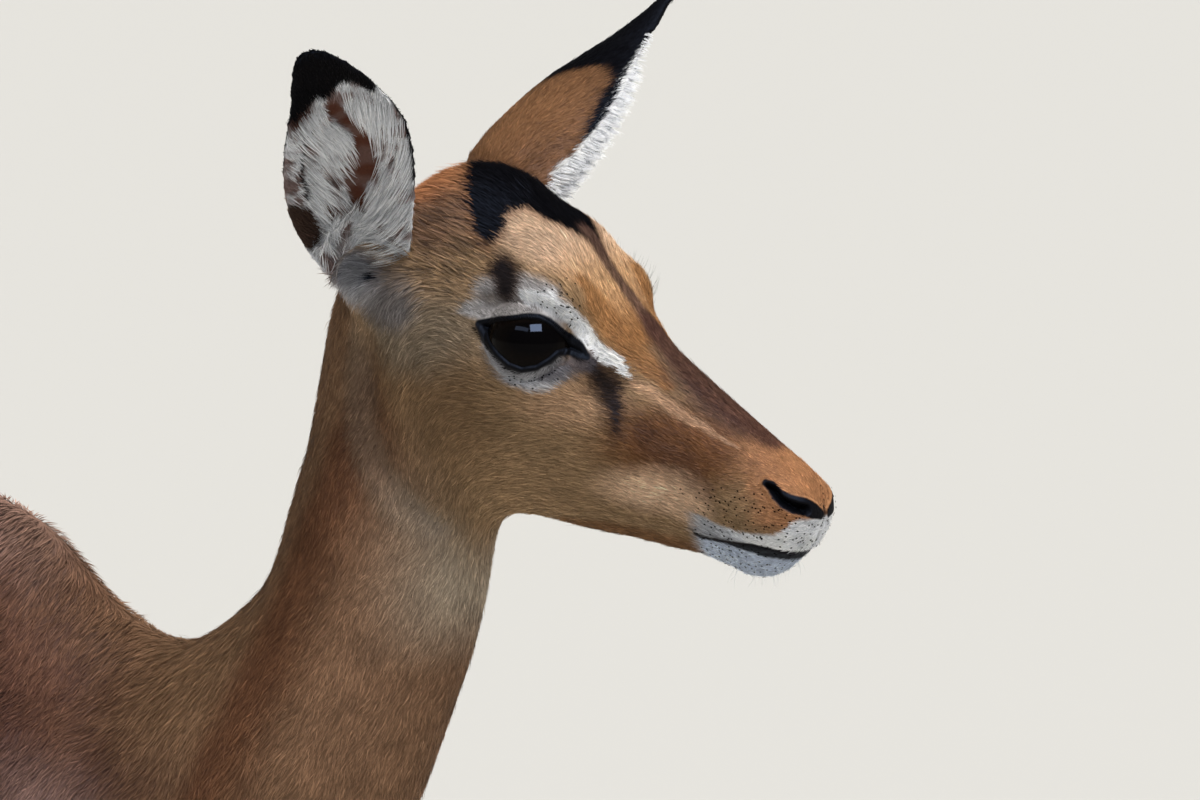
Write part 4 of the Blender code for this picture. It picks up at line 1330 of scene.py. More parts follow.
def lock_lie(share, across, ear):
    """Which way the hair of the cup lies, blended from the nearest guides."""
    flat = np.column_stack([share * ear["length"], across])
    runs = LOCK_GUIDES[:, 2:] - LOCK_GUIDES[:, :2]
    starts = LOCK_GUIDES[:, :2] + 0.12 * runs
    far = np.linalg.norm(flat[:, None] - starts[None], axis=2)
    nearness = 1 / (far + 2.5) ** 3
    lie = unit(nearness @ unit(runs))
    return lie[:, :1] * ear["along"] + lie[:, 1:] * ear["across"]


print("locks follow", len(LOCK_GUIDES), "guides")

# %% [markdown]
# On the head the hair runs from the nose back over the face and turns down behind the jaw, and it parts
# round the eyes. From the neck it runs down and back along the trunk, and down the limbs. Smooth fields are
# enough: each line mixes in one direction where it holds, and at the end everything is laid flat on the
# skin.

# %% Which way the hair lies
REARWARDS = np.array((-0.94, 0.0, 0.342))
BACK_AND_DOWN = np.array((-0.93, 0.0, -0.36))
DOWN_THE_NECK = (-0.42, 0.0, -0.91)
DOWN_THE_TAIL = np.array((-0.05, 0, -1.0))


def head_flow(seen):
    x, _, z = seen.T
    flow = mix(REARWARDS, (-0.72, 0.0, -0.69), eased(x, 0, -70) * eased(z, 40, -20))
    flow = mix(flow, (-0.45, 0.0, -0.9), eased(x, -40, -80) * eased(z, 70, 40))
    flow = mix(flow, (-0.95, 0.0, -0.3), eased(x, -20, -80) * eased(z, 70, 90))
    along, up, out, opening = eye_places(seen)
    around = unit(along[:, None] * EYE_ALONG + up[:, None] * EYE_UP)
    return mix(flow, around * 0.9 + REARWARDS * 0.4, 0.8 * eased(opening, -11, -1) * (out > -4))


def body_flow(points):
    x, z = points[:, 0], points[:, 2]
    off = np.abs(points[:, 1] - HEAD[1])
    on_legs = np.maximum(eased(x, 40, 70), eased(x, -330, -380))
    flow = mix(BACK_AND_DOWN, (-1.0, 0.0, 0.0), eased(off, 60, 25) * eased(z, 700, 740))
    flow = mix(flow, (-0.5, 0.0, -0.86), eased(x, 40, 130))
    flow = mix(flow, (-0.42, 0.0, -0.9), eased(x, -330, -420))
    flow = mix(flow, (-0.98, 0.0, -0.1), eased(z, 500, 470) * eased(off, 70, 40))
    return mix(flow, (-0.12, 0.0, -0.99), eased(z, 500, 420) * on_legs)


def flow_of(points, normals, parts):
    seen, side = from_head(points)
    flow = mix(head_flow(seen), DOWN_THE_NECK, eased(beyond(seen, HEAD_PLANE), 20, -25))
    flow = mix(flow, body_flow(points), eased(beyond(seen, NECK_PLANE), 40, -70))
    flow = np.where((parts == "tail")[:, None], DOWN_THE_TAIL, flow)
    flow[:, 1] *= -side  # the fields were written for the right side
    for name, ear in ears.items():
        share, across, _ = ear_places(points, ear)
        fanned = ear["along"] + ear["across"] * (across / 45)[:, None]
        in_cup = normals @ ear["opening"] > 0.1
        fanned = np.where(in_cup[:, None], lock_lie(share, across, ear), fanned)
        flow = np.where((parts == "ear_" + name)[:, None], fanned, flow)
    return unit(flow - normals * np.sum(flow * normals, axis=1, keepdims=True))


print("mean lie:", flow_of(points[::500], normals[::500], skin_parts[::500]).mean(0).round(2))

# %% [markdown]
# ## Tufts
#
# A particle system could make the hair, but an export drops that, while plain mesh comes through. A tuft is
# one blade. Its place has to be even but not regular: the areas of the triangles are added up, and places
# are drawn at steps along that sum, so that each triangle gets its fair share.

# %% Scatter places over triangles
SEED = 41  # every run draws the same coat
draw = np.random.default_rng(SEED)


def scattered(points, triangles, density):
    """Evenly spread places on the chosen triangles: triangle numbers and shares of their corners."""
    a, b, c = (points[triangles[:, k]] for k in range(3))
    wanted = np.cumsum(0.5 * np.linalg.norm(np.cross(b - a, c - a), axis=1) * density)
    count = int(wanted[-1])
    at = (np.arange(count) + draw.random(count)) / count * wanted[-1]
    chosen = np.minimum(np.searchsorted(wanted, at), len(triangles) - 1)
    first, second = np.sqrt(draw.random(count)), draw.random(count)
    return chosen, np.column_stack([1 - first, first * (1 - second), first * second])


def rooted(faces, density):
    """Roots on the chosen faces of the skin: each one's face, its place and the skin's normal there."""
    which, shares = scattered(points, triangles[faces], density)
    corners = triangles[faces][which]
    roots = np.einsum("nk,nkd->nd", shares, points[corners])
    return which, roots, unit(np.einsum("nk,nkd->nd", shares, normals[corners]))


share_kept = 1.0
print("share of the tufts that is made:", share_kept)

# %% [markdown]
# Every blade also owns a small patch on a map of the skin, so that its colour can be baked. The map is
# wrapped round a part like a label round a bottle: one way is the turn about the part's middle line, the
# other the way along it. The middle line is found in slices, because a neck or a leg is not straight.

# %% A map wrapped round a part
PATCH = 0.0015  # half of a tuft's patch on the map
SLICES = 24


def wrapped(points, along):
    """Places on a map wrapped round a part: turn about its middle line, and way along it."""
    along = unit(along)
    side = unit(np.cross(along, (0.0, 1.0, 0.02)))
    third = np.cross(along, side)
    way, first, second = points @ along, points @ side, points @ third
    share = (way - way.min()) / np.ptp(way)
    slices = np.minimum((share * SLICES).astype(int), SLICES - 1)
    filled = np.unique(slices)
    centres = (filled + 0.5) / SLICES
    middle_first = np.interp(share, centres, [first[slices == k].mean() for k in filled])
    middle_second = np.interp(share, centres, [second[slices == k].mean() for k in filled])
    turn = np.arctan2(second - middle_second, first - middle_first) / (2 * np.pi) + 0.5
    return np.column_stack([0.01 + 0.98 * turn, 0.01 + 0.98 * share])


def wear_patches(mesh, faces, places, patch):
    """Gives every tuft its own patch on the map, of the given shape round its place."""
    corner_places = (places[:, None] + PATCH * np.array(patch)[None]).reshape(-1, 2)
    layer = mesh.uv_layers.new(name="OFBake")
    layer.uv.foreach_set("vector", corner_places[faces.ravel()].astype(np.float32).ravel())


print("a tuft's patch is", PATCH * 2, "of the map across")

# %% [markdown]
# A blade is a kite of two triangles: a root buried in the skin, the full width at a bend, and a point. It
# rises at the root and lies down after the bend. All blades of a part are written into one mesh at once
# from arrays, which is quick even for sixty thousand of them. Roots are dark, as they lie in the shade of
# the coat.

# %% Build blades
BLADE = np.array([(0, 2, 1), (1, 2, 3)])  # root, left, right, tip
BLADE_PATCH = [(0, -1), (-1, 0), (1, 0), (0, 1)]
BEND = 0.42  # where a blade bends, as a share of its length
RISING, LYING = 1.6, 0.5  # how steeply its two halves leave the skin, as shares of its lift
ROOT_DEPTH, ROOT_BACK = 0.3, 0.08  # millimetres below the skin, and a share of the length backwards
ROOT_SHADE, BEND_SHADE = 0.5, 0.92


def mesh_of(name, corners, faces):
    """A mesh written at once from an array of corners in millimetres and an array of triangles."""
    mesh = bpy.data.meshes.new(name)
    mesh.vertices.add(len(corners))
    mesh.vertices.foreach_set("co", (corners * MM).astype(np.float32).ravel())
    mesh.loops.add(faces.size)
    mesh.loops.foreach_set("vertex_index", faces.astype(np.int32).ravel())
    mesh.polygons.add(len(faces))
    mesh.polygons.foreach_set("loop_start", np.arange(0, faces.size, 3, dtype=np.int32))
    mesh.update(calc_edges=True)
    mesh.shade_smooth()
    return mesh


def blade_mesh(name, roots, normals, flow, length, width, lift, roll, colours, tips, places):
    """One mesh of kite-shaped blades."""
    count = len(roots)
    colours, tips = (np.broadcast_to(value, (count, 3)) for value in (colours, tips))
    length, width, lift = (np.broadcast_to(value, count)[:, None] for value in (length, width, lift))
    side = np.cross(normals, flow)
    roll = draw.normal(0, roll, count)[:, None]
    side = side * np.cos(roll) + normals * np.sin(roll)
    rising = flow * np.cos(RISING * lift) + normals * np.sin(RISING * lift)
    lying = flow * np.cos(LYING * lift) + normals * np.sin(LYING * lift)
    roots = roots - normals * ROOT_DEPTH - flow * length * ROOT_BACK
    bend = roots + rising * length * BEND
    tip = bend + lying * length * (1 - BEND) + side * length * draw.normal(0, 0.05, count)[:, None]
    half = side * width / 2
    corners = np.stack([roots, bend - half, bend + half, tip], 1).reshape(-1, 3)
    faces = (BLADE[None] + 4 * np.arange(count)[:, None, None]).reshape(-1, 3)
    mesh = mesh_of(name, corners, faces)
    shades = [colours * ROOT_SHADE, colours * BEND_SHADE, colours * BEND_SHADE, tips]
    wear_colours(mesh, np.clip(np.stack(shades, 1).reshape(-1, 3), 0, 1))
    wear_patches(mesh, faces, places, BLADE_PATCH)
    return mesh


def add_piece(name, mesh, material):
    piece = linked(name, mesh)
    mesh.materials.append(material)
    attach(piece, "root")
    return piece


print("a blade has", len(BLADE), "triangles and bends at", BEND, "of its length")

# %% [markdown]
# ## The coat's recipe
#
# How thick, long and wide the tufts are changes over the body. On the head they are tiny on nose and lids,
# short on the face, and longer and looser on the crown. Bare places get none: the rims of the lids and the
# line of the mouth.

# %% The head's tufts
def head_recipe(seen):
    """Length, width, lift and density of the tufts."""
    x = seen[:, 0]
    scruff = blot(seen, (-62, -28, 72), (22, 22, 24), 0.5)
    crown = blot(seen, (-45, 0, 93), (24, 24, 12), 0.5)
    opening = eye_places(seen)[3]
    lids = eased(opening, -12, -3)
    muzzle = eased(x, 30, 95)
    length = 5.2 + 1.6 * eased(x, 10, -60) - 2.4 * muzzle + 4.5 * scruff + 2.0 * crown
    width = 0.41 + 0.05 * scruff - 0.09 * muzzle - 0.07 * lids
    lift = 0.13 + 0.20 * scruff + 0.05 * crown + 0.05 * muzzle
    density = 4.1 + 1.6 * muzzle + 1.2 * lids - 1.0 * scruff
    bare = (opening > -1.8) | (path_distance(seen, MOUTH)[0] < 1.0)
    return length * (1 - 0.5 * lids), width, lift, np.where(bare, 0, density)


cheek_length = head_recipe(np.array([(-30.0, -38.0, 0.0)]))[0][0]
print("a cheek's tuft is", round(float(cheek_length), 1), "mm long")

# %% [markdown]
# On the body the tufts are longer and wider, since they are seen from further away: finest on neck and
# shoulder, coarsest on flank and rump, longest under the belly, and short on the legs. The density goes
# down as the width goes up, so that the skin is covered everywhere.

# %% The body's tufts
TAIL_TUFTS = (26.0, 1.2, 0.22, 0.5)  # length, width, lift and density


def body_recipe(points):
    seen, _ = from_head(points)
    x, z = points[:, 0], points[:, 2]
    off = np.abs(points[:, 1] - HEAD[1])
    past_neck = beyond(seen, NECK_PLANE)
    neck, upper_neck = eased(past_neck, -80, 0), eased(past_neck, 0, 120)
    high = eased(z, 560, 640)
    shoulder = np.maximum(neck, eased(x, 60, 130) * high)
    near_head = np.maximum(neck, eased(x, 130, 170) * high)
    leg = eased(z, 470, 380)
    length = 17 - 6.5 * shoulder - 2.5 * near_head - 2.0 * upper_neck
    length = length + (6.5 - length) * leg - 2.5 * eased(z, 110, 50)
    length += 5 * eased(off, 70, 45) * eased(z, 500, 475) * (1 - leg)
    width = 1.05 - 0.40 * shoulder - 0.18 * near_head - 0.03 * upper_neck
    width = width + (0.62 - width) * leg
    density = 0.26 + 0.45 * shoulder + 0.45 * near_head + 0.25 * upper_neck
    density = density + (0.5 - density) * leg
    return length, width, np.full(len(points), 0.13), density


print("the tail's tufts:", TAIL_TUFTS[0], "mm long")

# %% [markdown]
# The ears wear short hair on both faces, shorter still towards the rim and the tip, and hardly any on the
# bare strip inside.

# %% The ears' tufts
def ear_recipe(points, inner, ear):
    share, across, _ = ear_places(points, ear)
    edge = eased(inset_of(share, across, ear), 4, 1)
    count = len(points)
    if inner:
        bare = bare_share(np.column_stack([share * ear["length"], across]), np.zeros(count))
        length = (6.5 - 4.5 * bare) * (1 - 0.55 * edge) * (1 - 0.4 * eased(share, 0.7, 0.85))
        return length, np.full(count, 0.34), 0.20 - 0.12 * bare, 2.2 - 0.8 * bare
    length = 4.2 * (1 - 0.35 * edge) * (1 - 0.25 * eased(share, 0.6, 0.9))
    return length, np.full(count, 0.38), np.full(count, 0.11), np.full(count, 2.4)


middles = points[triangles].mean(1)
first_edge, second_edge = (points[triangles[:, k]] - points[triangles[:, 0]] for k in (1, 2))
face_normals = unit(np.cross(first_edge, second_edge))
face_parts = part_of(middles)
print({name: int((face_parts == name).sum()) for name in np.unique(face_parts)}, "faces")

# %% [markdown]
# ## Dressing the skin
#
# Each part gets its coat as one piece, right and left apart, so that no mesh grows too large. Tufts are not
# all alike: each turns a little aside, soft noise makes whole groups of them turn and darken together as
# real hair clumps, and every fifth has a dark tip.

# %% Dress a part
DARK_TIPS, DARK_TIP, LIGHT_TIP = 0.2, 0.55, 1.12  # the share of dark tips, and how bright tips are
TONE_SPREAD, CLUMP_TONE = 0.22, 0.14  # how far single tufts and whole clumps differ in tone
LENGTH_SPREAD, LIFT_SPREAD = 0.16, 0.3
tuft_counts = {}


def recipe_of(part, faces, inner):
    if part == "head":
        length, width, lift, density = head_recipe(from_head(middles[faces])[0])
        on_leather = leather[triangles[faces]].mean(1) > 0.25
        return length, width, lift, np.where(on_leather, 0, density)
    if part.startswith("ear"):
        return ear_recipe(middles[faces], inner, ears[part[4:]])
    if part == "tail":
        return [np.full(len(faces), value) for value in TAIL_TUFTS]
    return body_recipe(middles[faces])


def dress(name, part, chosen, axis, inner=False):
    """Covers the chosen faces of a part with tufts, as one piece."""
    faces = np.flatnonzero((face_parts == part) & chosen)
    roll, wander, clump = (0.18, 0.12, 2.6) if part == "head" else (0.2, 0.15, 7.0)
    length, width, lift, density = recipe_of(part, faces, inner)
    which, roots, facing = rooted(faces, density * share_kept)
    count = len(roots)
    parts = np.full(count, part)
    flow = flow_of(roots, facing, parts)
    turn = draw.normal(0, wander, count) + 0.22 * grain(roots, 9.0, 51) + 0.2 * grain(roots, 26.0, 52)
    flow = flow * np.cos(turn)[:, None] + np.cross(facing, flow) * np.sin(turn)[:, None]
    colours = coat_colours(roots, facing, part_of(roots) if part != "head" else parts)
    tone = draw.normal(0, TONE_SPREAD, count) + CLUMP_TONE * grain(roots, clump, 53)
    colours = colours * np.exp(tone)[:, None]
    tips = colours * np.where(draw.random(count) < DARK_TIPS, DARK_TIP, LIGHT_TIP)[:, None]
    length = length[which] * np.exp(draw.normal(0, LENGTH_SPREAD, count))
    lift = lift[which] * np.exp(draw.normal(0, LIFT_SPREAD, count))
    width = width[which] / share_kept**0.5
    places = wrapped(roots, axis)
    mesh = blade_mesh(name, roots, facing, flow, length, width, lift, roll, colours, tips, places)
    tuft_counts[name] = count
    print(name, count, "tufts")
    return add_piece(name, mesh, hair)


HEAD_AXIS, NECK_AXIS, UPRIGHT, LENGTHWAYS = (0.94, 0, -0.342), (0.4, 0, 0.92), (0, 0, 1), (1, 0, 0)
to_right = middles[:, 1] < HEAD[1]
forwards = middles[:, 0]
before_eyes = forwards > HEAD[0] + 12
trunk_regions = {"coat_shoulder_": forwards > 60, "coat_side_": (forwards <= 60) & (forwards >= -220),
                 "coat_rump_": forwards < -220}
for side, on_side in (("right", to_right), ("left", ~to_right)):
    dress("coat_face_" + side, "head", on_side & before_eyes, HEAD_AXIS)
    dress("coat_cheek_" + side, "head", on_side & ~before_eyes, HEAD_AXIS)
    dress("coat_neck_" + side, "neck", on_side, NECK_AXIS)
    for name, region in trunk_regions.items():
        dress(name + side, "trunk", on_side & region, LENGTHWAYS)
    dress("coat_front_leg_" + side, "front_legs", on_side, UPRIGHT)
    dress("coat_hind_leg_" + side, "hind_legs", on_side, UPRIGHT)
    in_cup = face_normals @ ears[side]["opening"] > 0.1
    dress("coat_ear_back_" + side, "ear_" + side, ~in_cup, ears[side]["along"])
    dress("coat_ear_cup_" + side, "ear_" + side, in_cup, ears[side]["along"], inner=True)
dress("coat_tail", "tail", np.ones(len(middles), bool), UPRIGHT)
print("tufts in all:", sum(tuft_counts.values()))

# %% [markdown]
# ## Long hairs
#
# Some hairs stand out one by one: the white locks that sweep across each ear, the lashes, and pale whiskers
# on the chin. Each is a ribbon along a curved centre line, which leaves the skin in one direction, bends
# over into another and tapers to a point. Bevelled curves would take many more triangles.

# %% Ribbons for curved hairs
EAR_HAIR_WIDTH = 0.34


def curved_lines(roots, away, sweep, length, steps=4):
    """Hairs that leave along one direction and bend over into another."""
    share = np.linspace(0, 1, steps)[None, :, None]
    length = np.broadcast_to(length, len(roots))[:, None, None]
    bent = away[:, None] * share * (1 - 0.5 * share) + sweep[:, None] * 0.6 * share**2
    return roots[:, None] + length * bent


def ribbon_faces(steps):
    """The triangles of one ribbon: pairs of corners from root to bend, and one corner at the tip."""
    faces = []
    for k in range(0, 2 * steps - 4, 2):
        faces += [(k, k + 1, k + 3), (k, k + 3, k + 2)]
    return np.array([*faces, (2 * steps - 4, 2 * steps - 3, 2 * steps - 2)])


def hair_mesh(name, lines, facing, width, colours, places, shaded_root_tone=1.0):
    """Tapering ribbons along given centre lines, an array of hairs by points by three."""
    count, steps, _ = lines.shape
    run = unit(np.gradient(lines, axis=1))
    side = unit(np.cross(run, np.broadcast_to(facing, (count, 3))[:, None]))
    taper = np.linspace(1, 0, steps) ** 0.7
    half = side * (np.broadcast_to(width, count)[:, None, None] * taper[None, :, None] / 2)
    pairs = np.stack([(lines - half)[:, :-1], (lines + half)[:, :-1]], 2).reshape(count, -1, 3)
    corners = np.concatenate([pairs, lines[:, -1:]], 1)
    each = corners.shape[1]
    faces = (ribbon_faces(steps)[None] + each * np.arange(count)[:, None, None]).reshape(-1, 3)
    mesh = mesh_of(name, corners.reshape(-1, 3), faces)
    # darkened towards the root as painted shade of the coat
    fade = np.tile(np.linspace(shaded_root_tone, 1.05, each), count)[:, None]
    colours = np.repeat(np.broadcast_to(colours, (count, 3)), each, axis=0)
    wear_colours(mesh, np.clip(colours * fade, 0, 1))
    patch = np.column_stack([np.where(np.arange(each) % 2, 1.0, -1.0), np.linspace(-1, 1, each)])
    wear_patches(mesh, faces, places, patch)
    return mesh


print("a ribbon of four points has", len(ribbon_faces(4)), "triangles")

# %% [markdown]
# Hair in an ear grows in locks: many roots, but tips that gather in one point. So space is divided into
# cells, the hairs of one cell form a lock, and their directions and tips are drawn most of the way to the
# mean of the lock.

# %% Gather hairs into locks
LOCK_SIZE, FRINGE_LOCK_SIZE = 5.0, 4.5  # the cells in which hairs gather, in millimetres


def gathered(values, roots, size):
    """Each hair's value moved most of the way to that of the lock which it belongs to."""
    cells = np.floor(roots / size + 0.37).astype(np.int64) @ np.array((73856093, 19349663, 83492791))
    _, owner = np.unique(cells, return_inverse=True)
    total = np.column_stack([np.bincount(owner, values[:, k]) for k in range(3)])
    mean = total / np.bincount(owner)[:, None]
    return mean[owner] + 0.3 * (values - mean[owner])


def drawn_together(lines, roots, size):
    """Hairs whose tips are drawn most of the way to the tip of their lock."""
    middle = gathered(lines[:, -1], roots, size)
    pull = 0.75 * np.linspace(0, 1, lines.shape[1]) ** 1.4
    return lines + pull[None, :, None] * (middle - lines[:, -1])[:, None]


def add_ear_hairs(name, lines, roots, ear, colours, shaded_root_tone):
    width = EAR_HAIR_WIDTH / share_kept**0.5
    mesh = hair_mesh(name, lines, ear["opening"], width, colours, wrapped(roots, ear["along"]), shaded_root_tone)
    print(name, len(roots), "hairs")
    return add_piece(name, mesh, hair)


print("locks gather every", LOCK_SIZE, "mm")

# %% [markdown]
# The locks inside the cup follow the guides, rise a little off the skin and are darkened at the root as
# painted shade. None grow on the bare strip, the dark tip or the dark root of the rear margin, and along that
# margin they are short and dense.

# %% The white locks inside the ears
def lock_density(faces, ear):
    share, across, _ = ear_places(middles[faces], ear)
    flat = np.column_stack([share * ear["length"], across])
    hairy = eased(bare_share(flat, np.zeros(len(faces))), 0.5, 0.1)
    hairy *= share < np.interp(across, *CUP_TIP) - 0.02
    hairy *= eased(path_distance(flat, MARGIN_LINE)[0], 1.0, 2.0) * (from_dark_root(flat) < -1)
    return 0.46 * hairy * eased(grain(middles[faces], 6.0, 13), 0.5, 0.1)


def ear_locks(side):
    ear = ears[side]
    faces = np.flatnonzero((face_parts == "ear_" + side) & (face_normals @ ear["opening"] > 0.1))
    _, roots, facing = rooted(faces, lock_density(faces, ear) * share_kept)
    share, across, _ = ear_places(roots, ear)
    base = eased(share, 0.2, 0.04)
    rear_margin = eased(across, -17, -20) * eased(share, 0.3, 0.4)
    spread = draw.normal(0, 0.10, (len(roots), 3))
    lie = lock_lie(share, across, ear)
    away = gathered(unit(lie + (0.75 - 0.2 * base)[:, None] * ear["opening"] + spread), roots, LOCK_SIZE)
    sweep = gathered(unit(lie + 0.06 * ear["opening"] + 0.7 * spread), roots, LOCK_SIZE)
    length = (11.5 + 3 * eased(np.abs(across), 8, 16)) * (1 - 0.65 * rear_margin)
    length = length * np.exp(draw.normal(0, 0.2, len(roots)))
    lines = drawn_together(curved_lines(roots - 0.3 * facing, away, sweep, length, 5), roots, LOCK_SIZE)
    tone = np.exp(draw.normal(0, 0.22, len(roots)))[:, None]
    return add_ear_hairs("ear_locks_" + side, lines, roots, ear, WHITE * 1.1 * tone, 0.3)


for side in ears:
    ear_locks(side)

# %% [markdown]
# One ear turns its back, and there the white hair of the cup shows past the front margin as a fringe. It is
# the same kind of hair, rooted within four millimetres of the edge and swept outwards across the ear.

# %% The white fringe of the ear that turns away
def ear_fringe(side):
    ear = ears[side]
    faces = np.flatnonzero(face_parts == "ear_" + side)
    share, across, _ = ear_places(middles[faces], ear)
    edge = (across > 0) & (inset_of(share, across, ear) < 4) & (share > 0.08) & (share < 0.84)
    _, roots, _ = rooted(faces, np.where(edge, 1.5 * share_kept, 0))
    share = ear_places(roots, ear)[0]
    spread = draw.normal(0, 0.14, (len(roots), 3))
    away = unit(ear["across"] + 0.15 * ear["along"] + 0.1 * ear["opening"] + spread)
    sweep = unit(ear["across"] - 0.05 * ear["along"] + spread)
    away, sweep = gathered(away, roots, FRINGE_LOCK_SIZE), gathered(sweep, roots, FRINGE_LOCK_SIZE)
    length = (6.4 - 3.0 * eased(share, 0.68, 0.84)) * np.exp(draw.normal(0, 0.25, len(roots)))
    lines = drawn_together(curved_lines(roots, away, sweep, length), roots, FRINGE_LOCK_SIZE)
    tone = np.exp(draw.normal(0, 0.1, len(roots)))[:, None]
    return add_ear_hairs("ear_fringe_" + side, lines, roots, ear, WHITE * tone, 0.8)


for side, ear in ears.items():
    if ear["fringed"]:
        ear_fringe(side)

# %% [markdown]
# Lashes stand along the rim of the upper lid, and a few long feeling hairs stand above it. Their roots are
# placed on a ball just outside the lid. Both eyes are alike, so places and directions are made for the
# right eye and copied over the middle of the head.

# %% Lashes and brow hairs
UPPER_RIM = np.array(EYE_OPENING[10:] + EYE_OPENING[:1])
LASH_BALL = EYE_RADIUS + LID_THICKNESS + 0.2


def both_sides(seen_points, seen_directions):
    """Copies places and directions of the right side to the left."""
    mirror = np.array((1, -1, 1))
    return (np.concatenate([seen_points + HEAD, seen_points * mirror + HEAD]),
            [np.concatenate([each, each * mirror]) for each in seen_directions])


def on_ball(along, up, radius):
    out = np.sqrt(np.maximum(radius**2 - along**2 - up**2, 0))
    return EYE + along[:, None] * EYE_ALONG + up[:, None] * EYE_UP + out[:, None] * EYE_OUT


def upper_lid_hairs(name, count, above, length, width, sweep_forward):
    """Dark hairs on the upper lids, a given way above the rim."""
    steps = np.arange(len(UPPER_RIM))
    where = np.sort(draw.uniform(0.15, 0.9, count)) * steps[-1]
    along = np.interp(where, steps, UPPER_RIM[:, 0])
    up = np.interp(where, steps, UPPER_RIM[:, 1]) + draw.uniform(*above, count)
    places = on_ball(along, up, LASH_BALL)
    outwards = unit(places - EYE)
    away = unit(outwards * 0.9 + EYE_UP * 0.3 + draw.normal(0, 0.12, (count, 3)))
    sweep = EYE_UP * 0.8 + EYE_ALONG * sweep_forward + outwards * 0.3
    sweep = unit(sweep + draw.normal(0, 0.14, (count, 3)))
    length = np.tile(draw.uniform(*length, count), 2)
    roots, (away, sweep, facing) = both_sides(places, (away, sweep, np.tile(EYE_ALONG, (count, 1))))
    lines = curved_lines(roots, away, sweep, length, 5)
    mesh = hair_mesh(name, lines, facing, width, BLACK, wrapped(roots, (0, 1, 0)))
    print(name, len(roots), "hairs")
    add_piece(name, mesh, hair)


upper_lid_hairs("lashes", 80, (-0.4, 0.5), (5.0, 8.0), 0.30, -0.35)
upper_lid_hairs("brow_hairs", 56, (3.0, 12.0), (10.0, 17.0), 0.2, 0.25)

# %% [markdown]
# The chin carries a few pale whiskers that point down and back.

# %% Whiskers of the chin
def chin_whiskers():
    seen = middles - HEAD
    chin = (face_parts == "head") & (seen[:, 0] > 66) & (seen[:, 2] < -59) & (face_normals[:, 0] < 0.85)
    faces = np.flatnonzero(chin)
    _, roots, facing = rooted(faces, np.full(len(faces), 0.06))
    away = unit(facing * 0.8 + np.array((0.1, 0, -0.3)) + draw.normal(0, 0.2, (len(roots), 3)))
    sweep = unit(np.array((-0.2, 0, -0.6)) + draw.normal(0, 0.25, (len(roots), 3)))
    lines = curved_lines(roots, away, sweep, draw.uniform(4, 9, len(roots)), 4)
    flat = unit(np.cross(away, sweep))
    mesh = hair_mesh("whiskers", lines, flat, 0.18, WHITE, wrapped(roots, (1, 0, 0)))
    print("whiskers", len(roots), "hairs")
    add_piece("whiskers", mesh, hair)


chin_whiskers()

# %% [markdown]
# Feeling hairs leave dark pores on the lids and above the lip. They are too small to be sculpted, so each
# is one tiny black kite that lies on the short coat.

# %% Dark pores of lids and lips
def pores():
    faces = np.flatnonzero((face_parts == "head") & (eye_places(from_head(middles)[0])[3] < -3))
    seen, _ = from_head(middles[faces])
    marked = 0.13 * blot(seen, (1, -35, 46), (9, 9, 9), 0.5)
    marked += 0.13 * blot(seen, (-9, -41, 16), (11, 8, 6), 0.5)
    marked += 0.11 * eased(seen[:, 0], 48, 62) * eased(seen[:, 2], -26, -38)
    _, roots, facing = rooted(faces, marked)
    flow = flow_of(roots, facing, np.full(len(roots), "head"))
    on_coat = roots + facing * 1.2
    places = wrapped(roots, HEAD_AXIS)
    mesh = blade_mesh("pores", on_coat, facing, flow, 1.2, 0.8, 0.0, 0.1, BLACK, BLACK, places)
    print("pores", len(roots), "specks")
    add_piece("pores", mesh, hair)


pores()

# %% [markdown]
# ## Eyes
#
# An antelope's eye shows hardly any white. Under a wet, very glossy cornea a dark brown iris lies round a
# long level pupil. A place's distance from the pupil, squeezed in height, tells the two apart in the
# shader, and no image is needed.

# %% The eye's finish
def make_eye_finish():
    """Near black, with a dark brown iris that only shows at a slant round a long level pupil."""
    material, nodes, links, shader = new_finish("dark_eye_glass", 0.05, 0.035)
    place = new_node(nodes, "ShaderNodeTexCoord")
    squeeze = new_node(nodes, "ShaderNodeMapping", Location=(-0.010, 0.0168, -0.006), Scale=(1.0, 1.0, 1.9))
    far = new_node(nodes, "ShaderNodeVectorMath")
    far.operation = "LENGTH"
    ring = new_node(nodes, "ShaderNodeMapRange", From_Min=0.010, From_Max=0.016)
    tone = nodes.new("ShaderNodeMix")
    tone.data_type = "RGBA"
    tone.inputs["A"].default_value = (*paint(6, 5, 6), 1)
    tone.inputs["B"].default_value = (*paint(14, 10, 8), 1)
    links.new(place.outputs["Object"], squeeze.inputs["Vector"])
    links.new(squeeze.outputs["Vector"], far.inputs[0])
    links.new(far.outputs["Value"], ring.inputs["Value"])
    links.new(ring.outputs["Result"], tone.inputs["Factor"])
    links.new(tone.outputs["Result"], shader.inputs["Base Color"])
    return material


eye_glass = make_eye_finish()
print("made", eye_glass.name)

# %% [markdown]
# The solid of the eye is a good ball but its facets would show in so glossy a surface. A finer ball takes
# its place, a trace smaller so that the lids stay in front. The left one is mirrored, and so is its pupil.

# %% Glossy eyeballs
EYEBALL_RADIUS = EYE_RADIUS - 0.15

for side in ("right", "left"):
    bm = bmesh.new()
    bmesh.ops.create_icosphere(bm, subdivisions=5, radius=EYEBALL_RADIUS * MM)
    mesh = bpy.data.meshes.new("eyeball_" + side)
    bm.to_mesh(mesh)
    bm.free()
    mesh.shade_smooth()
    if side == "left":
        mesh.transform(((1, 0, 0, 0), (0, -1, 0, 0), (0, 0, 1, 0), (0, 0, 0, 1)))
        mesh.flip_normals()
    ball = linked("eyeball_" + side, mesh)
    ball.location = Vector(node_middle("eye_" + side) * MM)
    mesh.materials.append(eye_glass)
    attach(ball, "root")
    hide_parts("eye_" + side)
print("eyeballs:", round(EYEBALL_RADIUS, 2), "mm in radius")

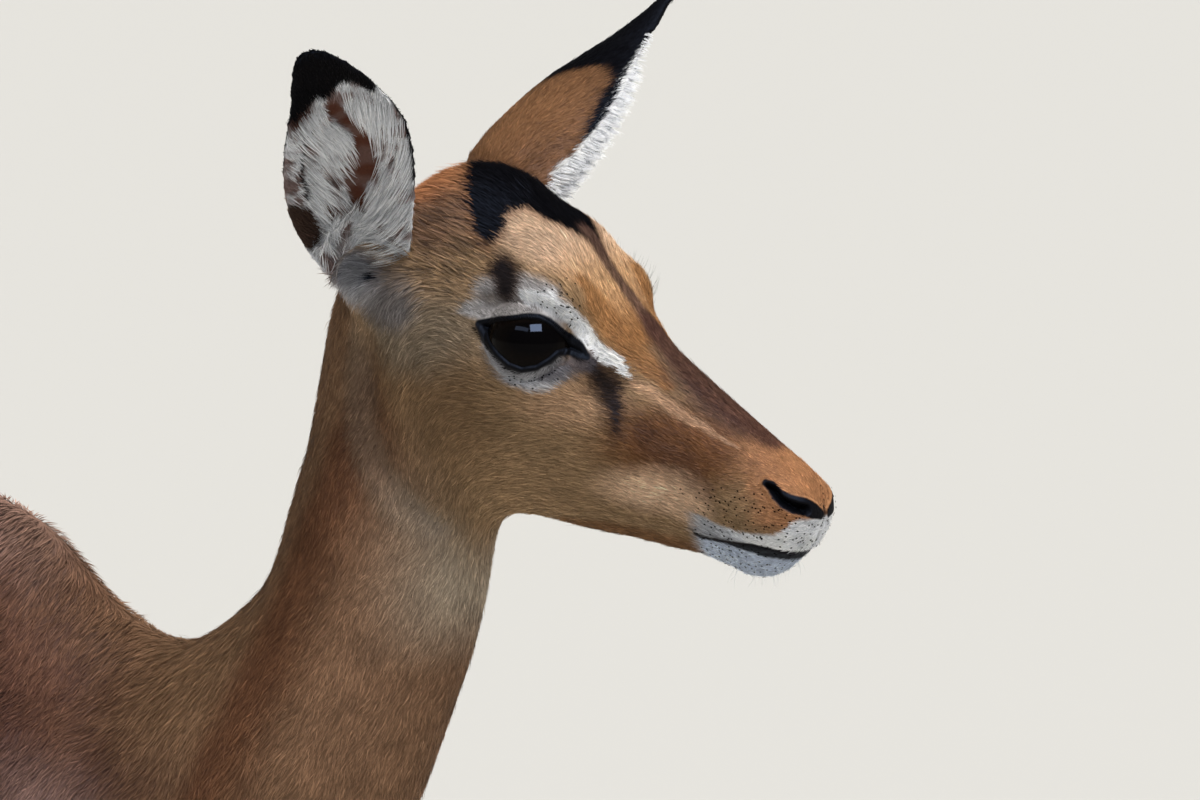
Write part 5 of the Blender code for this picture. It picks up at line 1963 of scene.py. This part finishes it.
# %% [markdown]
# ## Hooves
#
# Each foot ends in two horn claws. Horn grows down in fine rings, and it is duller than an eye but glossier
# than hair. A noise that is squeezed in height gives the rings, as tone and as bump.

# %% The finish of horn
def make_horn():
    material, nodes, links, shader = new_finish("hoof_horn", 0.38, 0.5)
    rings = object_noise(nodes, links, 60.0, 4.0, (0.6, 0.6, 7.0))
    tone = nodes.new("ShaderNodeValToRGB")
    tone.color_ramp.elements[0].position = 0.3
    tone.color_ramp.elements[0].color = (*paint(26, 23, 22), 1)
    tone.color_ramp.elements[1].position = 0.75
    tone.color_ramp.elements[1].color = (*paint(66, 56, 50), 1)
    links.new(rings, tone.inputs["Fac"])
    links.new(tone.outputs["Color"], shader.inputs["Base Color"])
    wire_bump(nodes, links, shader, rings, 0.5, 0.4)
    return material


horn = make_horn()
print("made", horn.name)

# %% [markdown]
# The solids of the claws are good, so the claws keep their shape and only lose their facets: a fine voxel
# mesh is smoothed a few times. What touches the floor stays where it is, so that the animal stands flat.

# %% Horn claws
claws = 0
for name in sorted(frame["nodes"]):
    if not name.startswith("hoof_"):
        continue
    claw = linked(name.replace("hoof", "claw"), frame["nodes"][name].data.copy())
    with_modifier(claw, "REMESH", mode="VOXEL", voxel_size=1.3 * MM, use_smooth_shade=True)
    claw_points = corners_of(claw.data)
    on_floor = claw_points[:, 2] < 1.0
    soft = smoothed(claw_points, edge_ends(claw.data), np.where(on_floor, 0.0, 0.5), 8)
    soft[:, 2] = np.maximum(soft[:, 2], 0.0)
    put_corners(claw.data, soft)
    claw.data.materials.clear()
    claw.data.materials.append(horn)
    claw.data.shade_smooth()
    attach(claw, "root")
    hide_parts(name)
    claws += 1
print(claws, "claws of horn")

# %% [markdown]
# ## The studio
#
# The model stands in a pale room. The floor is one very wide pale disc, a hair below the soles, and an even
# world light fills the shadows with a cool tint.

# %% Floor and world
FLOOR_RADIUS, FLOOR_DROP = 40.0, 0.0006  # metres
floor_material, nodes, links, shader = new_finish("studio_floor", 0.9, 0.1, tuple(paint(196, 195, 192)))
bm = bmesh.new()
bmesh.ops.create_circle(bm, cap_ends=True, segments=96, radius=FLOOR_RADIUS)
floor_mesh = bpy.data.meshes.new("studio_floor")
bm.to_mesh(floor_mesh)
bm.free()
floor = linked("studio_floor", floor_mesh)
floor.location.z = -FLOOR_DROP
floor_mesh.materials.append(floor_material)

world = bpy.data.worlds.new("pale_room")
world.use_nodes = True
world.node_tree.nodes["Background"].inputs["Color"].default_value = (0.90, 0.95, 1.0, 1)
world.node_tree.nodes["Background"].inputs["Strength"].default_value = 0.25
bpy.context.scene.world = world
print("the floor is", 2 * FLOOR_RADIUS, "metres wide")

# %% [markdown]
# Two soft suns light the coat: a warm strong one from above and a weak cool one from the far side, which
# brings out brow, nose and the far ear while the cheek falls into half shade. They add no gloss. The gleam
# of eyes and nose comes from two cool lamps near the camera that add nothing else.

# %% Suns and gleams
CAMERA_TURN, CAMERA_RISE, CAMERA_AWAY = math.radians(30), math.radians(9), 4.0
GLEAM_AWAY, COOL = 1.9, (0.52, 0.66, 1.0)
target = Vector(HEAD * MM)
camera_right = Vector((math.cos(CAMERA_TURN), math.sin(CAMERA_TURN), 0))
camera_back = Vector((math.sin(CAMERA_TURN), -math.cos(CAMERA_TURN), 0))
towards_camera = camera_back * math.cos(CAMERA_RISE) + Vector((0, 0, math.sin(CAMERA_RISE)))
camera_up = towards_camera.cross(camera_right)


def aim(obj, at):
    obj.rotation_euler = (at - obj.location).to_track_quat("-Z", "Y").to_euler()


def lamp(name, kind, place, power, colour=(1, 1, 1), **settings):
    light = bpy.data.lights.new(name, kind)
    light.energy = power
    light.color = colour
    for setting, value in settings.items():
        setattr(light, setting, value)
    hung = linked(name, light)
    hung.location = place
    aim(hung, target)
    return hung


def near_camera(back, right, up):
    """A place for a gleam, given by how far it lies towards, right of and above the camera's view."""
    way = back * towards_camera + right * camera_right + up * camera_up
    return target + GLEAM_AWAY * way.normalized()


above, beyond_head = target + Vector((0.9, -0.35, 2.2)), target + Vector((0.6, 1.6, 1.3))
ceiling = lamp("ceiling", "SUN", above, 3.8, (1.0, 0.97, 0.92), angle=math.radians(24))
far_side = lamp("far_side", "SUN", beyond_head, 0.7, (0.96, 0.98, 1.0), angle=math.radians(40))
window = lamp("window", "AREA", near_camera(0.855, 0.098, 0.51), 150.0, COOL, size=0.9, size_y=0.6)
door = lamp("door", "AREA", near_camera(0.757, -0.463, 0.459), 14.0, COOL, size=1.1, size_y=0.3)
for gleam in (window, door):
    gleam.data.shape = "RECTANGLE"
    gleam.visible_diffuse = False
for sun in (ceiling, far_side):
    sun.visible_glossy = False
bpy.context.scene.view_settings.view_transform = "Standard"
print("lit by two suns and two lamps")

# %% [markdown]
# ## The camera and the last look
#
# The camera stands far away with a long lens, so the head fills the frame and only part of neck and body
# shows. The lens is worked out from the width that should be seen at the target.

# %% The camera
FRAME_WIDTH, SENSOR_WIDTH = 0.5106, 36  # metres seen across at the target, and millimetres of film
camera_data = bpy.data.cameras.new("camera")
camera_data.sensor_width = SENSOR_WIDTH
camera_data.lens = SENSOR_WIDTH * CAMERA_AWAY / FRAME_WIDTH
camera_data.clip_end = 200
camera = linked("camera", camera_data)
camera.location = target + towards_camera * CAMERA_AWAY
aim(camera, target)
bpy.context.scene.camera = camera
print("lens:", round(camera_data.lens), "mm")

# %% [markdown]
# Last, the faces of all meshes in the scene are counted.

# %% Sizes and finish
total = sum(len(obj.data.polygons) for obj in bpy.data.objects if obj.type == "MESH")
print("faces in the scene:", total)
